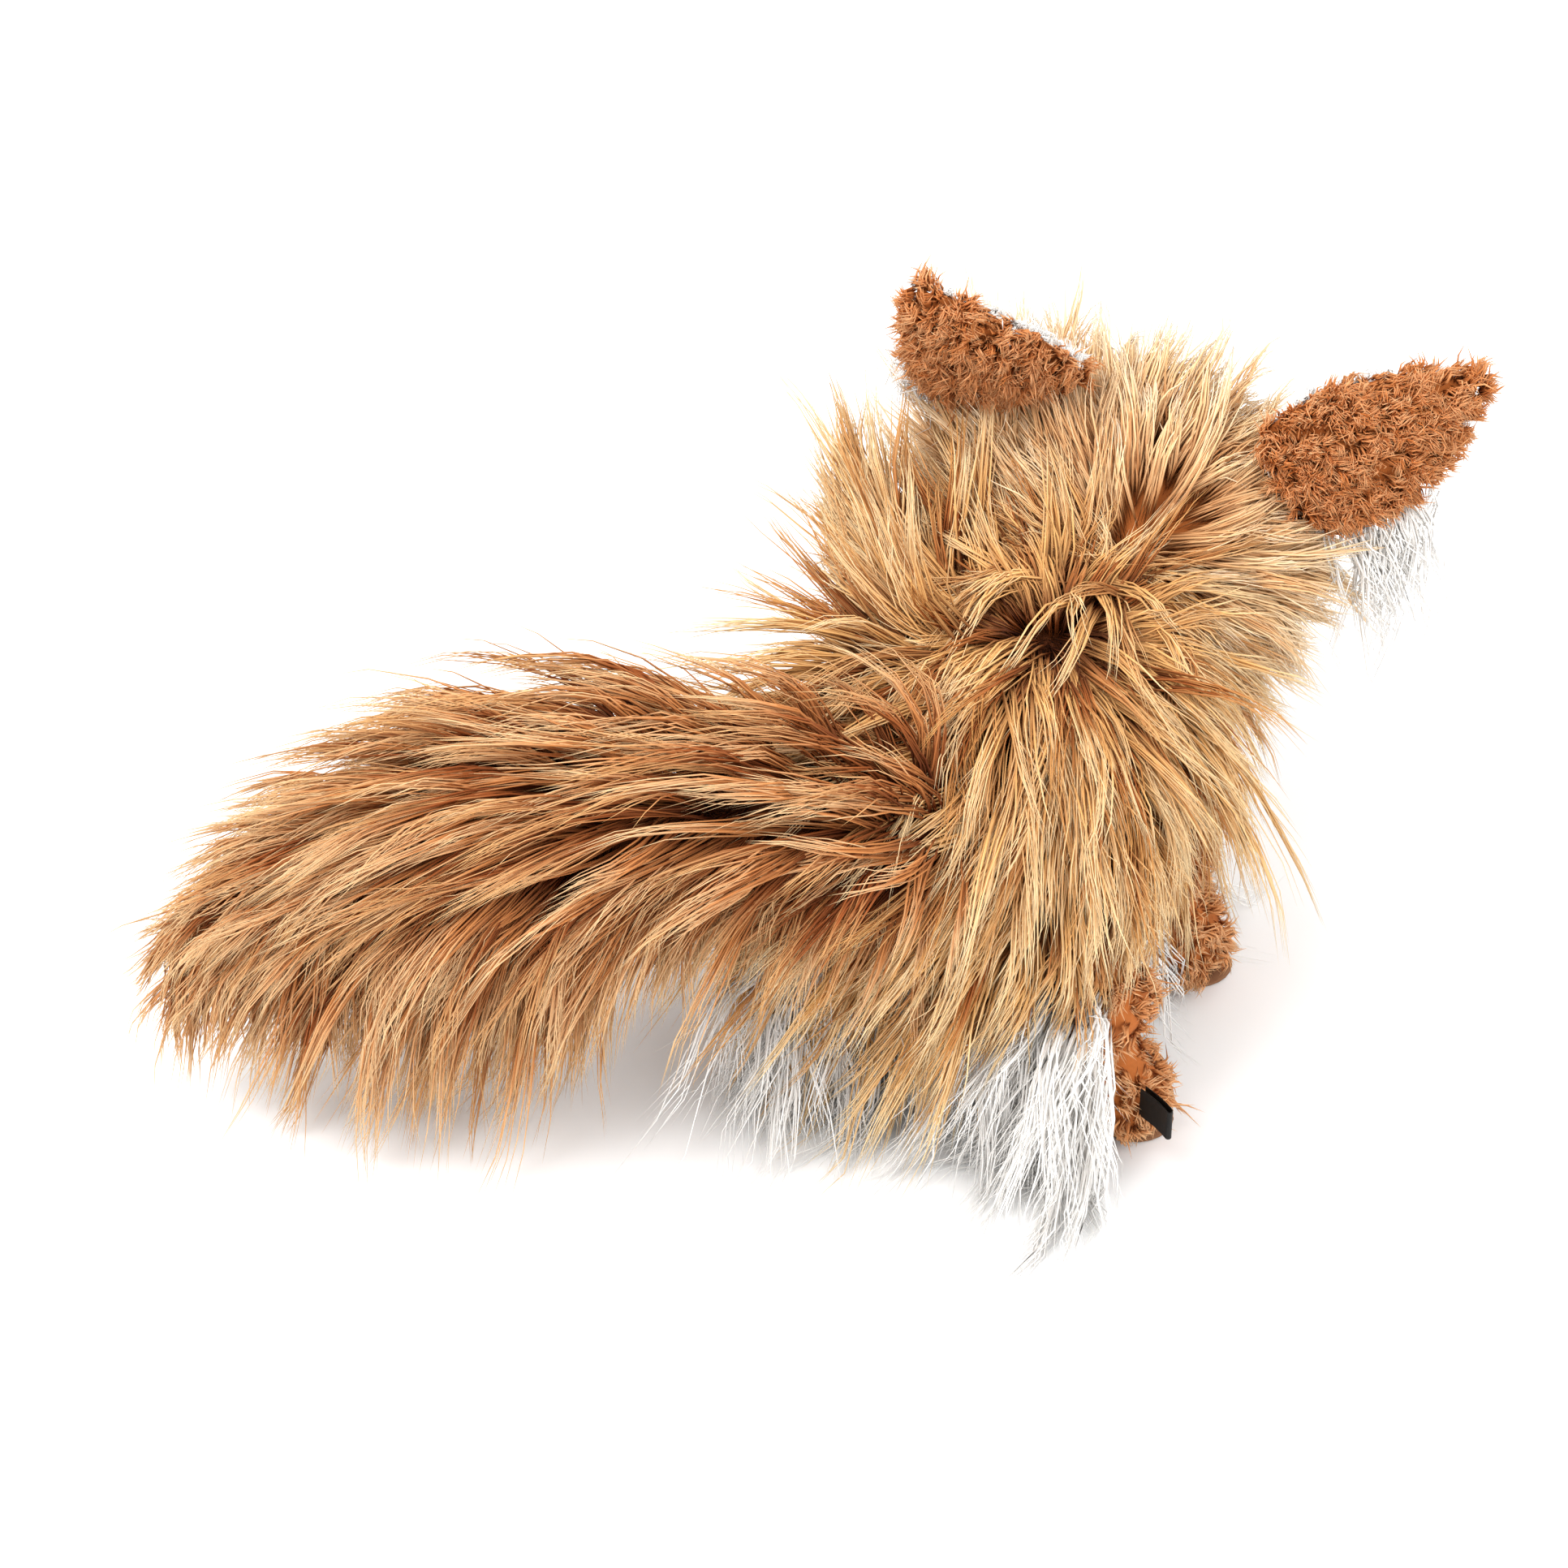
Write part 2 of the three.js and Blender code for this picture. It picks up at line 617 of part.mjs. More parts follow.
// Tail: a ball in its seat, then a plume that swells and tapers as it droops
function tailForm(share, inset = 0) {
  const widths = new THREE.SplineCurve([
    new THREE.Vector2(0, TAIL_NECK_RADIUS),
    new THREE.Vector2(TAIL_LENGTH * 0.16, TAIL_NECK_RADIUS),
    new THREE.Vector2(TAIL_LENGTH * 0.45, TAIL_PLUME_RADIUS),
    new THREE.Vector2(TAIL_LENGTH * 0.75, TAIL_PLUME_RADIUS * 0.8),
    new THREE.Vector2(TAIL_LENGTH * 0.95, TAIL_TIP_RADIUS),
  ]);
  const path = new THREE.QuadraticBezierCurve3(
    new THREE.Vector3(0, -inset, 0),
    new THREE.Vector3(0, -TAIL_LENGTH * 0.55, TAIL_ARCH),
    new THREE.Vector3(0, -TAIL_LENGTH * (0.9 + 0.1 * share) + inset, -TAIL_DROOP + inset / 2),
  );
  const rings = [];
  const steps = 9;
  for (let i = 0; i <= steps; i++) {
    const at = i / steps;
    const centre = path.getPoint(at);
    const ahead = path.getTangent(at);
    const side = new THREE.Vector3(0, 0, 1).cross(ahead).normalize();
    const top = ahead.clone().cross(side);
    const radius = share * widths.getPoint(at).y - inset;
    const fringe = share < 1 ? 0 : TAIL_FRINGE * Math.sin(Math.PI * at) ** 2;
    const under = top.clone().multiplyScalar(radius * (1 + fringe));
    rings.push({ centre, side: side.multiplyScalar(radius), top: top.multiplyScalar(radius), under });
  }
  return skinned(rings);
}

function makeTail() {
  const seat = bowl(tailSeatInner, TAIL_SEAT_THICKNESS, TAIL_SEAT_REACH).rotateX(rad(-90));
  add(tailRoot, "tail_seat", seat, brownFur);

  const wall = carried(trunkForm(-GAP - CUT_MARGIN), trunk, tail);
  let plume = tailForm(1);
  for (let swing = -TAIL_SWING.out; swing <= TAIL_SWING.back; swing += SWING_STEP) {
    for (let lift = -TAIL_LIFT.down; lift <= TAIL_LIFT.up; lift += LIFT_STEP) {
      plume = cut(plume, wall.clone().rotateZ(rad(-swing)).rotateX(rad(lift)));
    }
  }
  const outer = join(plume, ball(TAIL_BALL_RADIUS));
  const hollow = join(tailForm(TAIL_CORE_SHARE), ball(TAIL_BALL_RADIUS * TAIL_CORE_SHARE));
  const opening = new THREE.CylinderGeometry(TAIL_OPENING, TAIL_OPENING, TAIL_BALL_RADIUS * 2, AROUND);
  opening.translate(0, TAIL_BALL_RADIUS, 0);
  add(tail, "tail_cover", cut(outer, hollow, opening), brownFur);
  add(tail, "tail_stuffing", tailForm(TAIL_CORE_SHARE, GAP), filling);
}

// Label: a bare folded ribbon sewn into the outer seam of the right hind leg
function makeLabel() {
  const level = LABEL_LEVEL - HIP_HEIGHT;
  const share = THREE.MathUtils.clamp((-HIP_RADIUS * 0.6 - level) / (HIP_HEIGHT - HIP_RADIUS * 0.6), 0, 1);
  label.rotation.z = rad(LABEL_TURN);
  label.position.set(LEG_SPLAY * share, PAW_FORWARD * share * share, level);
  const out = new THREE.Vector3(labelReach + 2, 0, 0).applyEuler(label.rotation);
  label.position.add(out);
  const ribbon = new THREE.BoxGeometry(LABEL_WIDTH, LABEL_THICKNESS, LABEL_HEIGHT);
  ribbon.translate(LABEL_WIDTH / 2, 0, 0);
  add(label, "side_label", ribbon, satin);
}

function add(group, name, geometry, look) {
  const mesh = new THREE.Mesh(geometry, look);
  mesh.name = name;
  group.add(mesh);
}

makeTrunk();
makeNeck();
makeHead();
makeEar(leftEar, "left_ear");
makeEar(rightEar, "right_ear");
for (const [name, group] of Object.entries(legs)) {
  makeLeg(group, name, Math.sign(group.position.x));
}
makeTail();
makeLabel();

// The frame's origin is the bottom centre of the box round the dog
const bounds = new THREE.Box3().setFromObject(dog, true);
const middle = bounds.getCenter(new THREE.Vector3());
trunk.position.x -= middle.x;
trunk.position.y -= middle.y;
trunk.position.z -= bounds.min.z;

export default dog;
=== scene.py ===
"""A long-haired plush dog: its skins, coat, face, label and stage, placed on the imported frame."""

import json
import math
from collections import namedtuple

import bpy
import numpy as np
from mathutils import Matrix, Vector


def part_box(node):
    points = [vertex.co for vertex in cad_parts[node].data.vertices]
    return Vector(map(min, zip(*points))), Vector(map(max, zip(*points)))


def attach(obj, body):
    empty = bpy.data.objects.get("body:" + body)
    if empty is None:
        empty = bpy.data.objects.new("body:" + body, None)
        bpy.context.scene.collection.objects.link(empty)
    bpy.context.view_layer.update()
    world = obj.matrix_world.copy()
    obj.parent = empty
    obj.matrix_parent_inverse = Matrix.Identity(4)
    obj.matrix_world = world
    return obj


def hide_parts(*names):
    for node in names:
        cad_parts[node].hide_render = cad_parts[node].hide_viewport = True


bl_info = {
    "name": "Plush dog",
    "version": (1, 0, 0),
    "blender": (4, 5, 0),
    "location": "View3D > Sidebar > Plush dog",
    "description": "Skins, coat, face and stage of a long-haired plush dog",
    "category": "Object",
}

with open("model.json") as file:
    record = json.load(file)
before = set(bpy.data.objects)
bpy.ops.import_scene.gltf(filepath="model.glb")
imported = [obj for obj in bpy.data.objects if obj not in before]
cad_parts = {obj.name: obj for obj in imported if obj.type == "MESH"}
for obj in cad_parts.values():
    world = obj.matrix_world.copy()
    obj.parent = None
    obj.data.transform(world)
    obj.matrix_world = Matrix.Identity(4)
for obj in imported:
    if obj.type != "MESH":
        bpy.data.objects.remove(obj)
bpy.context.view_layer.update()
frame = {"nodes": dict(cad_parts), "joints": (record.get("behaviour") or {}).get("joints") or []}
JOINTS = {joint["name"]: joint for joint in frame["joints"]}
LEGS = ("front_left", "front_right", "hind_left", "hind_right")
DOWN = np.array((0.0, 0.0, -1.0))


def linear(red, green, blue):
    """A screen colour from 0 to 255 as scene-linear values."""
    value = np.array((red, green, blue)) / 255.0
    low = value / 12.92
    high = ((value + 0.055) / 1.055) ** 2.4
    return tuple(float(v) for v in np.where(value <= 0.04045, low, high))


def run(*stops):
    """A run of screen colours, from a hair's root to its tip."""
    return tuple(linear(*stop) for stop in stops)


def pivot(joint):
    """Where a joint of the frame is."""
    return np.array(JOINTS[joint]["pos_m"], float)


def turned_z(degrees):
    """The matrix of a turn about the upright axis."""
    c, s = math.cos(math.radians(degrees)), math.sin(math.radians(degrees))
    return np.array(((c, -s, 0.0), (s, c, 0.0), (0.0, 0.0, 1.0)))


# The camera, and the lamps: where they face, and name, place, size and power of each
CAMERA_AZIMUTH = 24.0
CAMERA_RISE = 40.0
CAMERA_DISTANCE = 1.6
LAMPS_FACE = np.array((0.0, 0.0, 0.1))
LAMPS = (
    ("key", (-0.7, -1.0, 1.9), 1.3, 44.0),
    ("fill", (1.6, -0.5, 1.5), 1.6, 22.0),
    ("back", (0.2, 1.8, 1.8), 1.6, 16.0),
)

# Places and directions that follow from the frame's joints
NECK = pivot("head_turn")
TAIL = pivot("tail_swing")
NOD = np.array(JOINTS["head_nod"]["axis"], float)
HEAD = turned_z(math.degrees(math.atan2(NOD[1], NOD[0])))
LIFT = np.array(JOINTS["tail_lift"]["axis"], float)
TAIL_ALONG = np.cross(LIFT, DOWN)
CAMERA_TARGET = NECK + np.array((-0.067, -0.047, -0.017))

# The parting across the back of the neck, the tufts of the left shoulder, flank and crown, and their reach
PARTING = NECK + np.array((-0.001, -0.020, 0.050))
PARTING_ALONG = turned_z(CAMERA_AZIMUTH) @ np.array((1.0, 0.0, 0.0))
PARTING_HALF = 0.030
PARTING_REACH = 0.030
TUFTS = NECK + np.array((-0.040, -0.005, 0.020))
TUFTS_LEFT_OF = -0.010
TUFT_RAMP = 0.02
SHOULDER_TUFTS = 0.028
FLANK_TUFTS = 0.034
FLANK_BEHIND = 0.048
TAIL_ROOT_REACH = 0.045
CROWN_REACH = 0.018
CROSS_REACH = 0.026
LEAD_REACH = 0.042
SHORT_REACH = 0.02
BACK_CLEAR = 0.012
TUFT_CLEAR = 0.022
CROWN = pivot("left_ear_fold") + HEAD @ np.array((-0.006, -0.020, -0.024))

# The right flank, whose hair is short: from the neck to the right, over, below and behind
FLANK_RIGHT = 0.015
FLANK_OVER = 0.025
FLANK_TOP = 0.06
FLANK_BACK = 0.015

# Half sizes of the stuffed head and muzzle, the rump's mean radius and where the tail's path bends
SKULL = np.array((0.051, 0.045, 0.040))
MUZZLE = np.array((0.019, 0.025, 0.015))
RUMP_MEAN = 0.045
TAIL_BEND = 0.585

# Ears: degrees that each is tipped back, sizes, and the lining on the front
EAR_TIP = {"left": 30.0, "right": -27.0}
EAR_LENGTH = 0.068
EAR_HALF_WIDTH = 0.023
EAR_HALF_THICK = 0.0034
EAR_CUP = 0.007
LINING_END = 0.97
LINING_WIDTH = 0.9
LINING_OFF = 0.0006
LINING_HALF_THICK = 0.0005

# Each ear's white fringe: which edge it hangs from, its length and its locks
EAR_FRINGES = {"left": (-1.0, 0.013, 16), "right": (1.0, 0.054, 26)}

# Legs: heights over the floor, then sizes
LEG_SOLE = 0.0066
HIP_LEVEL = 0.052
LEG_TOP = 0.067
HIP_BALL = 0.015
SHAFT_BELOW_HIP = 0.006
LEAN_BELOW_HIP = 0.012
LEAN_OVER = 0.040
LEG_LEAN = 0.012
PAW_FORWARD = 0.007
PAW_STRETCH = 0.18
LEG_SPARE = 0.0006

# The ruff: a band of a ball, whose axis leans up, open to a rim or to a level
RUFF_LEAN = math.radians(18)
RUFF_AXIS = HEAD @ np.array((0.0, math.cos(RUFF_LEAN), math.sin(RUFF_LEAN)))
RUFF_ROWS = 21
RUFF_RADIUS = 0.0460
RUFF_INSIDE = 0.0435
RUFF_LEVEL = -0.020
RUFF_OPEN = np.radians(62.0)
RUFF_RIM = np.radians(53.0)

# Runs of values: where along a form, or how far it faces a way, and the value there
TAIL_RADIUS_MM = (0.0, 0.16, 0.3, 0.45, 0.75, 0.95, 1.0), (8.4, 8.4, 14.0, 19.0, 16.0, 6.0, 2.0)
LEG_RADIUS = (0.0066, 0.010, 0.018, 0.026, 0.034), (0.0085, 0.012, 0.0132, 0.0115, 0.0100)
BACK_LIFT = (-0.2, 0.6), (0.5, 1.2)
MANE_PILE = (-1.0, -0.3, 0.3), (0.45, 0.9, 1.05)
PLUME_PILE = (0.0, 0.15, 0.4, 0.7, 1.0), (0.95, 1.05, 1.1, 0.85, 0.40)
PLUME_PILE_BELOW = (0.0, 0.3, 0.5), (0.55, 0.75, 1.3)
PLUME_CLEAR = (0.0, 0.2, 0.4, 0.7, 1.0), (0.032, 0.036, 0.028, 0.007, 0.003)
PLUME_CLEAR_UP = (-0.2, 0.6), (0.45, 1.0)
PLUME_LIFT = (0.0, 0.5, 0.8, 1.0), (1.4, 0.6, 0.2, 0.15)
PLUME_LIFT_UP = (-0.5, 0.8), (0.7, 1.7)
PLUME_LIFT_ASIDE = (0.3, 0.9), (1.0, 0.45)

# Locks: hairs in one, spread at the root, share drawn in at the tip, strays, wave, its turns, shortest hair
Lock = namedtuple("Lock", "per spread pull stray wave turns shortest")
BACK_LOCK = Lock(15, 0.0048, 0.92, 0.0015, 0.0025, 1.0, 0.6)
MANE_LOCK = BACK_LOCK._replace(per=16)
RUFF_LOCK = BACK_LOCK._replace(per=13)
BELLY_LOCK = Lock(16, 0.004, 0.9, 0.002, 0.005, 1.8, 0.6)
FEATHER_LOCK = Lock(16, 0.004, 0.9, 0.003, 0.004, 1.8, 0.6)
FRINGE_LOCK = Lock(9, 0.003, 0.85, 0.0026, 0.005, 1.8, 0.6)
EAR_LOCK = Lock(12, 0.0024, 0.6, 0.0009, 0.0018, 1.1, 0.75)
LEG_LOCK = EAR_LOCK._replace(per=10)

# Shares of stray hairs and of long locks, and how much further strays reach
FLYAWAYS = 0.12
FLYAWAY_REACH = 3.0
LONG_LOCKS = 0.12

# Numbers of locks, and of points to choose extra ones from at the parting, the tail's root and the tufts
TRUNK_LOCKS = 1400
TRUNK_CHOICE = 5000
EXTRA_LOCKS = (110, 50, 50)
MANE_LOCKS = 1400
MANE_CHOICE = 4000
CROWN_LOCKS = 60
RUFF_CHOICE = 2600
RUFF_LOCKS = 410
EAR_LOCKS = 980
LEG_LOCKS = 380
TAIL_LOCKS = 920
SEAT_LOCKS = 110
FACE_HAIRS = 12000
MUZZLE_HAIRS = 4200

# Radii of the finer hairs, the belly's share of a long hair's, and where the coat begins and ends
EAR_HAIR = 0.00048
LEG_HAIR = 0.0005
FACE_HAIR = 0.00042
FEATHER_HAIR = 0.00046
BELLY_HAIR = 1.15
FLOOR_CLEAR = 0.0012
FEATHER_CLEAR = 0.0015
WHITE_BELOW = 0.068
HEAD_GAP = 0.004
FACE_SEAM = 0.004
BALL_GAP = 0.05
SEAT_RADIUS = 0.011
BUTTON_GAPS = {"left_eye": 0.0092, "right_eye": 0.0092, "nose": 0.0088}

# Colour runs of the coats that have no setting of their own, and the washers
RUST = run((112, 50, 14), (186, 106, 50), (208, 132, 74))
TAN = run((160, 94, 48), (222, 156, 100), (242, 194, 146))
FAWN = run((158, 98, 52), (222, 170, 116), (242, 210, 166))
BLOND = run((184, 128, 80), (242, 206, 156), (250, 232, 204))
CHESTNUT = run((64, 22, 6), (150, 80, 36), (230, 178, 118))
OCHRE = run((104, 46, 16), (200, 132, 76), (244, 210, 162))
WASHER = linear(217, 214, 207)


def length(name, description, default):
    """A length that the user can set."""
    return bpy.props.FloatProperty(
        name=name, description=description, default=default, min=0.0, unit="LENGTH"
    )


def colour(name, description, *rgb):
    """A colour that the user can set."""
    return bpy.props.FloatVectorProperty(
        name=name, description=description, default=linear(*rgb), size=3, min=0.0, max=1.0, subtype="COLOR"
    )


class DogSizes(bpy.types.PropertyGroup):
    """Lengths of the dog's forms and coat."""

    shoulder: length("Shoulder", "Radius of the shoulder ball under the coat", 0.039)
    rump_length: length("Rump length", "From the shoulder ball's middle to the rear", 0.085)
    rump_width: length("Rump width", "Half width of the rump under the coat", 0.055)
    rump_height: length("Rump height", "Half height of the rump under the coat", 0.038)
    rump_drop: length("Rump drop", "How far the rump lies below the shoulders", 0.012)
    head_forward: length("Head forward", "From the neck pivot to the head's middle", 0.074)
    head_above: length("Head above", "Height of the head's middle over the neck pivot", 0.019)
    muzzle_forward: length("Muzzle forward", "From the head's middle to the muzzle's", 0.040)
    muzzle_below: length("Muzzle below", "Drop from the head's middle to the muzzle's", 0.015)
    tail_length: length("Tail length", "Length of the stuffed tail", 0.222)
    tail_arch: length("Tail arch", "How far the tail's middle is drawn up", 0.018)
    tail_droop: length("Tail droop", "How far the tail's tip lies below its root", 0.054)
    back_pile: length("Back pile", "Length of the hair on the back", 0.096)
    belly_pile: length("Belly pile", "Length of the white hair", 0.072)
    head_pile: length("Head pile", "Length of the hair on the head", 0.064)
    tail_pile: length("Tail pile", "Length of the hair on the tail", 0.088)
    short_pile: length("Short pile", "Length of the hair on legs, ears and face", 0.0095)
    hair: length("Hair", "Radius of a long hair near its root", 0.00045)


class DogColours(bpy.types.PropertyGroup):
    """Colours of the dog's coat and trim."""

    brown_root: colour("Brown root", "Dark hairs at the root", 50, 16, 4)
    brown_mid: colour("Brown middle", "Dark hairs half way", 158, 86, 38)
    brown_tip: colour("Brown tip", "Dark hairs at the tip", 226, 168, 98)
    gold_root: colour("Gold root", "Light hairs at the root", 112, 54, 18)
    gold_mid: colour("Gold middle", "Light hairs half way", 230, 178, 112)
    gold_tip: colour("Gold tip", "Light hairs at the tip", 246, 222, 178)
    white_root: colour("White root", "White hairs at the root", 244, 238, 230)
    white_tip: colour("White tip", "White hairs at the tip", 248, 246, 243)
    skin: colour("Skin", "Cloth that backs the brown pile", 96, 48, 20)
    pale_skin: colour("Pale skin", "Cloth that backs the white pile", 200, 186, 168)
    pad: colour("Pad", "Cloth of the paw pads", 150, 108, 78)
    label: colour("Label", "Satin of the side label", 18, 14, 12)
    button: colour("Button", "Plastic of eyes and nose", 14, 10, 9)


def unit(vectors):
    """Vectors scaled to length one."""
    return vectors / np.maximum(np.linalg.norm(vectors, axis=-1, keepdims=True), 1e-12)


def rounds(columns):
    """Angles once round, without the repeated end."""
    return np.linspace(0.0, 2.0 * math.pi, columns, endpoint=False)


def egg_grid(middle, half, basis, rows=28, columns=40):
    """An ellipsoid as rings from pole to pole: latitude by longitude, scaled and turned."""
    lat = np.linspace(0.0, math.pi, rows)[:, None]
    lon = rounds(columns)[None, :]
    local = np.stack((np.sin(lat) * np.cos(lon), np.sin(lat) * np.sin(lon), np.cos(lat) + 0 * lon), axis=-1)
    return middle + (local * np.asarray(half)) @ basis.T


def trunk_half_sizes(back, sizes):
    """Half width and height of the trunk, by a smooth step from the shoulder's to the rump's."""
    change = back**2 * (3.0 - 2.0 * back)
    wide = sizes.shoulder + (sizes.rump_width - sizes.shoulder) * change
    return wide, sizes.shoulder + (sizes.rump_height - sizes.shoulder) * change


def trunk_grid(sizes, rows=44, columns=48):
    """A half ball in front and, behind it, rings whose half sizes follow the cube-root swell of the rump."""
    turn = np.linspace(-math.pi / 2, math.pi / 2, rows)
    ahead = np.maximum(np.sin(turn), 0.0)
    back = np.maximum(-np.sin(turn), 0.0)
    ball = np.sqrt(np.maximum(1.0 - ahead**2, 0.0))
    swell = np.where(back > 0, np.cbrt(np.maximum(1.0 - back**3, 0.0)), ball)
    wide, high = (half * swell for half in trunk_half_sizes(back, sizes))
    y = ahead * sizes.shoulder - back * sizes.rump_length
    z = -sizes.rump_drop * back**2
    angle = rounds(columns)[None, :]
    x = wide[:, None] * np.cos(angle)
    return NECK + np.stack((x, y[:, None] + 0 * x, z[:, None] + high[:, None] * np.sin(angle)), axis=-1)


def tail_path(sizes, share):
    """Points along the tail: a quadratic curve that rises a little from its root and droops to its tip."""
    t = np.asarray(share)[..., None]
    bend = 2.0 * t * (1.0 - t)
    reach = bend * TAIL_BEND + t**2
    fall = sizes.tail_droop * t**2 - sizes.tail_arch * bend
    return TAIL + TAIL_ALONG * sizes.tail_length * reach + DOWN * fall


def tail_share(points, sizes):
    """How far along the tail points are, from 0 at its root to 1 at its tip."""
    return np.clip((points - TAIL) @ TAIL_ALONG / sizes.tail_length, 0.0, 1.0)


def tail_width(share):
    """The stuffed tail's radius: narrow at the root, fullest before the middle, fine at the tip."""
    return np.interp(share, *TAIL_RADIUS_MM) / 1000.0


def tail_grid(sizes, rows=40, columns=28):
    """Rings of the tail's radius square to its path."""
    share = np.linspace(0.0, 1.0, rows)
    centre = tail_path(sizes, share)
    ahead = unit(np.gradient(centre, axis=0))
    side = unit(np.cross(ahead, DOWN))
    top = np.cross(side, ahead)
    wide = tail_width(share) * np.where((share > 0) & (share < 1), 1.0, 0.0)
    angle = rounds(columns)[None, :, None]
    ring = np.cos(angle) * side[:, None] + np.sin(angle) * top[:, None]
    return centre[:, None] + wide[:, None, None] * ring


def leg_grid(hip, sideways, rows=36, columns=28):
    """A turned leg: hip ball, shaft and paw radii along its height, leaning outwards and forwards."""
    heights = np.linspace(LEG_SOLE, LEG_TOP, rows - 2)
    level = np.concatenate(([LEG_SOLE], heights, [LEG_TOP])) - HIP_LEVEL
    shaft = np.interp(level + HIP_LEVEL, *LEG_RADIUS) * (level < -SHAFT_BELOW_HIP)
    ball = np.sqrt(np.maximum(HIP_BALL**2 - level**2, 0.0))
    radius = np.maximum(shaft, ball) + LEG_SPARE
    radius[[0, -1]] = 0.0
    share = np.clip((-LEAN_BELOW_HIP - level) / LEAN_OVER, 0.0, 1.0)
    middle = hip + np.stack((sideways * LEG_LEAN * share, PAW_FORWARD * share**2, level), axis=-1)
    angle = rounds(columns)[None, :]
    ring = np.stack((np.cos(angle), np.sin(angle), 0 * angle), axis=-1)
    forward = 1.0 + PAW_STRETCH * share[:, None]
    ring = ring * np.stack((np.ones_like(forward), forward, forward), axis=-1)
    return middle[:, None] + radius[:, None, None] * ring


def ear_frame(side):
    """An ear's root and its axes: across its root, along it and to its back, tipped about its root."""
    across = np.array(JOINTS[f"{side}_ear_fold"]["axis"], float)
    rear = HEAD @ np.array((0.0, -1.0, 0.0))
    rise = unit(np.cross(rear, across))
    tip = math.radians(EAR_TIP[side])
    along = rise * math.cos(tip) + rear * math.sin(tip)
    return pivot(f"{side}_ear_fold"), across, along, rear * math.cos(tip) - rise * math.sin(tip)


def ear_point(side, share, across, depth):
    """A point of an ear from its outline's share, its place across from -1 to 1 and its depth to the back.

    The outline is a cubic curve from the root to the tip, and the ear is cupped along and across.
    """
    root, right, along, backward = ear_frame(side)
    s = np.asarray(share)
    half = EAR_HALF_WIDTH * (0.72 * (1 - s) ** 3 + 3.75 * (1 - s) ** 2 * s + 2.4 * (1 - s) * s**2)
    grown = 1.05 * (1 - s) ** 2 * s + 2.1 * (1 - s) * s**2 + s**3
    x = half * across
    z = depth + EAR_CUP * np.sin(math.pi * grown) - EAR_CUP * (x / EAR_HALF_WIDTH) ** 2 * grown
    return root + x[..., None] * right + (EAR_LENGTH * grown)[..., None] * along + z[..., None] * backward


def leaf_grid(side, rows=30, end=1.0, width=1.0, half_thick=EAR_HALF_THICK, front=0.0):
    """A thin closed leaf as rings across an ear, thicker in the middle than at its edge.

    With front at 1 it is laid on the ear's front, at 0 it is the ear itself.
    """
    share = np.linspace(0.0, end, rows)[:, None]
    angle = rounds(28)[None, :]
    open_row = np.where((share > 0) & (share < end), 1.0, 0.0)
    across = width * np.cos(angle) * open_row
    laid = front * (EAR_HALF_THICK * np.sqrt(1.0 - across**2) * open_row + LINING_OFF)
    return ear_point(side, share + 0 * angle, across, half_thick * np.sin(angle) * open_row - laid)


def ruff_grid(columns=48):
    """Rings of a ball round the ruff's axis, out to its rim or down to its level, and back inside."""
    right = HEAD @ np.array((1.0, 0.0, 0.0))
    up = np.cross(right, RUFF_AXIS)
    turn = rounds(columns)[None, :]
    ring = np.cos(turn)[..., None] * right + np.sin(turn)[..., None] * up
    away = np.concatenate((np.full(RUFF_ROWS, RUFF_RADIUS), [RUFF_INSIDE, RUFF_INSIDE]))[:, None]
    whole = np.hypot(RUFF_AXIS[2], ring[..., 2])
    phase = np.arctan2(ring[..., 2], RUFF_AXIS[2])
    level = phase + np.arccos(np.clip(RUFF_LEVEL / RUFF_RADIUS / whole, -1.0, 1.0))
    limit = np.minimum(RUFF_OPEN, level)
    steep = limit * np.concatenate((np.linspace(0.0, 1.0, RUFF_ROWS), [1.0, 0.0]))[:, None]
    return NECK + away[..., None] * (np.cos(steep)[..., None] * RUFF_AXIS + np.sin(steep)[..., None] * ring)


def outward(grid):
    """The rings so that their faces point out: turned round if they enclose a negative volume."""
    local = grid - grid.reshape(-1, 3).mean(axis=0)
    right = np.roll(local, -1, axis=1)[:-1]
    volume = np.einsum("ijk,ijk->", local[:-1], np.cross(right, local[1:]))
    return grid[:, ::-1] if volume < 0 else grid


def object_of(name, mesh):
    """A new object of the scene for a mesh."""
    piece = bpy.data.objects.new(name, mesh)
    bpy.context.scene.collection.objects.link(piece)
    return piece


def mesh_piece(name, points, faces, look, body):
    """A smooth mesh as an object of the scene, with its material and body."""
    mesh = bpy.data.meshes.new(name)
    mesh.from_pydata(points.tolist(), [], faces)
    mesh.polygons.foreach_set("use_smooth", np.ones(len(mesh.polygons), bool))
    mesh.materials.append(bpy.data.materials[look])
    mesh.update()
    piece = object_of(name, mesh)
    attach(piece, body)
    return piece


def tube(rows, columns):
    """Corner numbers of rings between two end points: rings, their right neighbours and both end fans."""
    ring = np.arange(rows * columns).reshape(rows, columns) + 1
    right = np.roll(ring, -1, axis=1)
    start = np.stack((0 * ring[0], right[0], ring[0]), axis=-1)
    end = np.stack((ring[-1], right[-1], 0 * ring[0] + ring.size + 1), axis=-1)
    return ring, right, start, end


def skin_piece(name, grid, look, body, nodes):
    """A closed, smooth mesh from rings, whose first and last rings are one point each."""
    grid = outward(grid)
    rows, columns, _ = grid.shape
    points = np.concatenate((grid[0, :1], grid[1:-1].reshape(-1, 3), grid[-1, :1]))
    ring, right, start, end = tube(rows - 2, columns)
    quads = np.stack((ring[:-1], right[:-1], right[1:], ring[1:]), axis=-1).reshape(-1, 4)
    faces = start.tolist() + quads.tolist() + end.tolist()
    piece = mesh_piece(name, points, faces, look, body)
    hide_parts(*nodes)


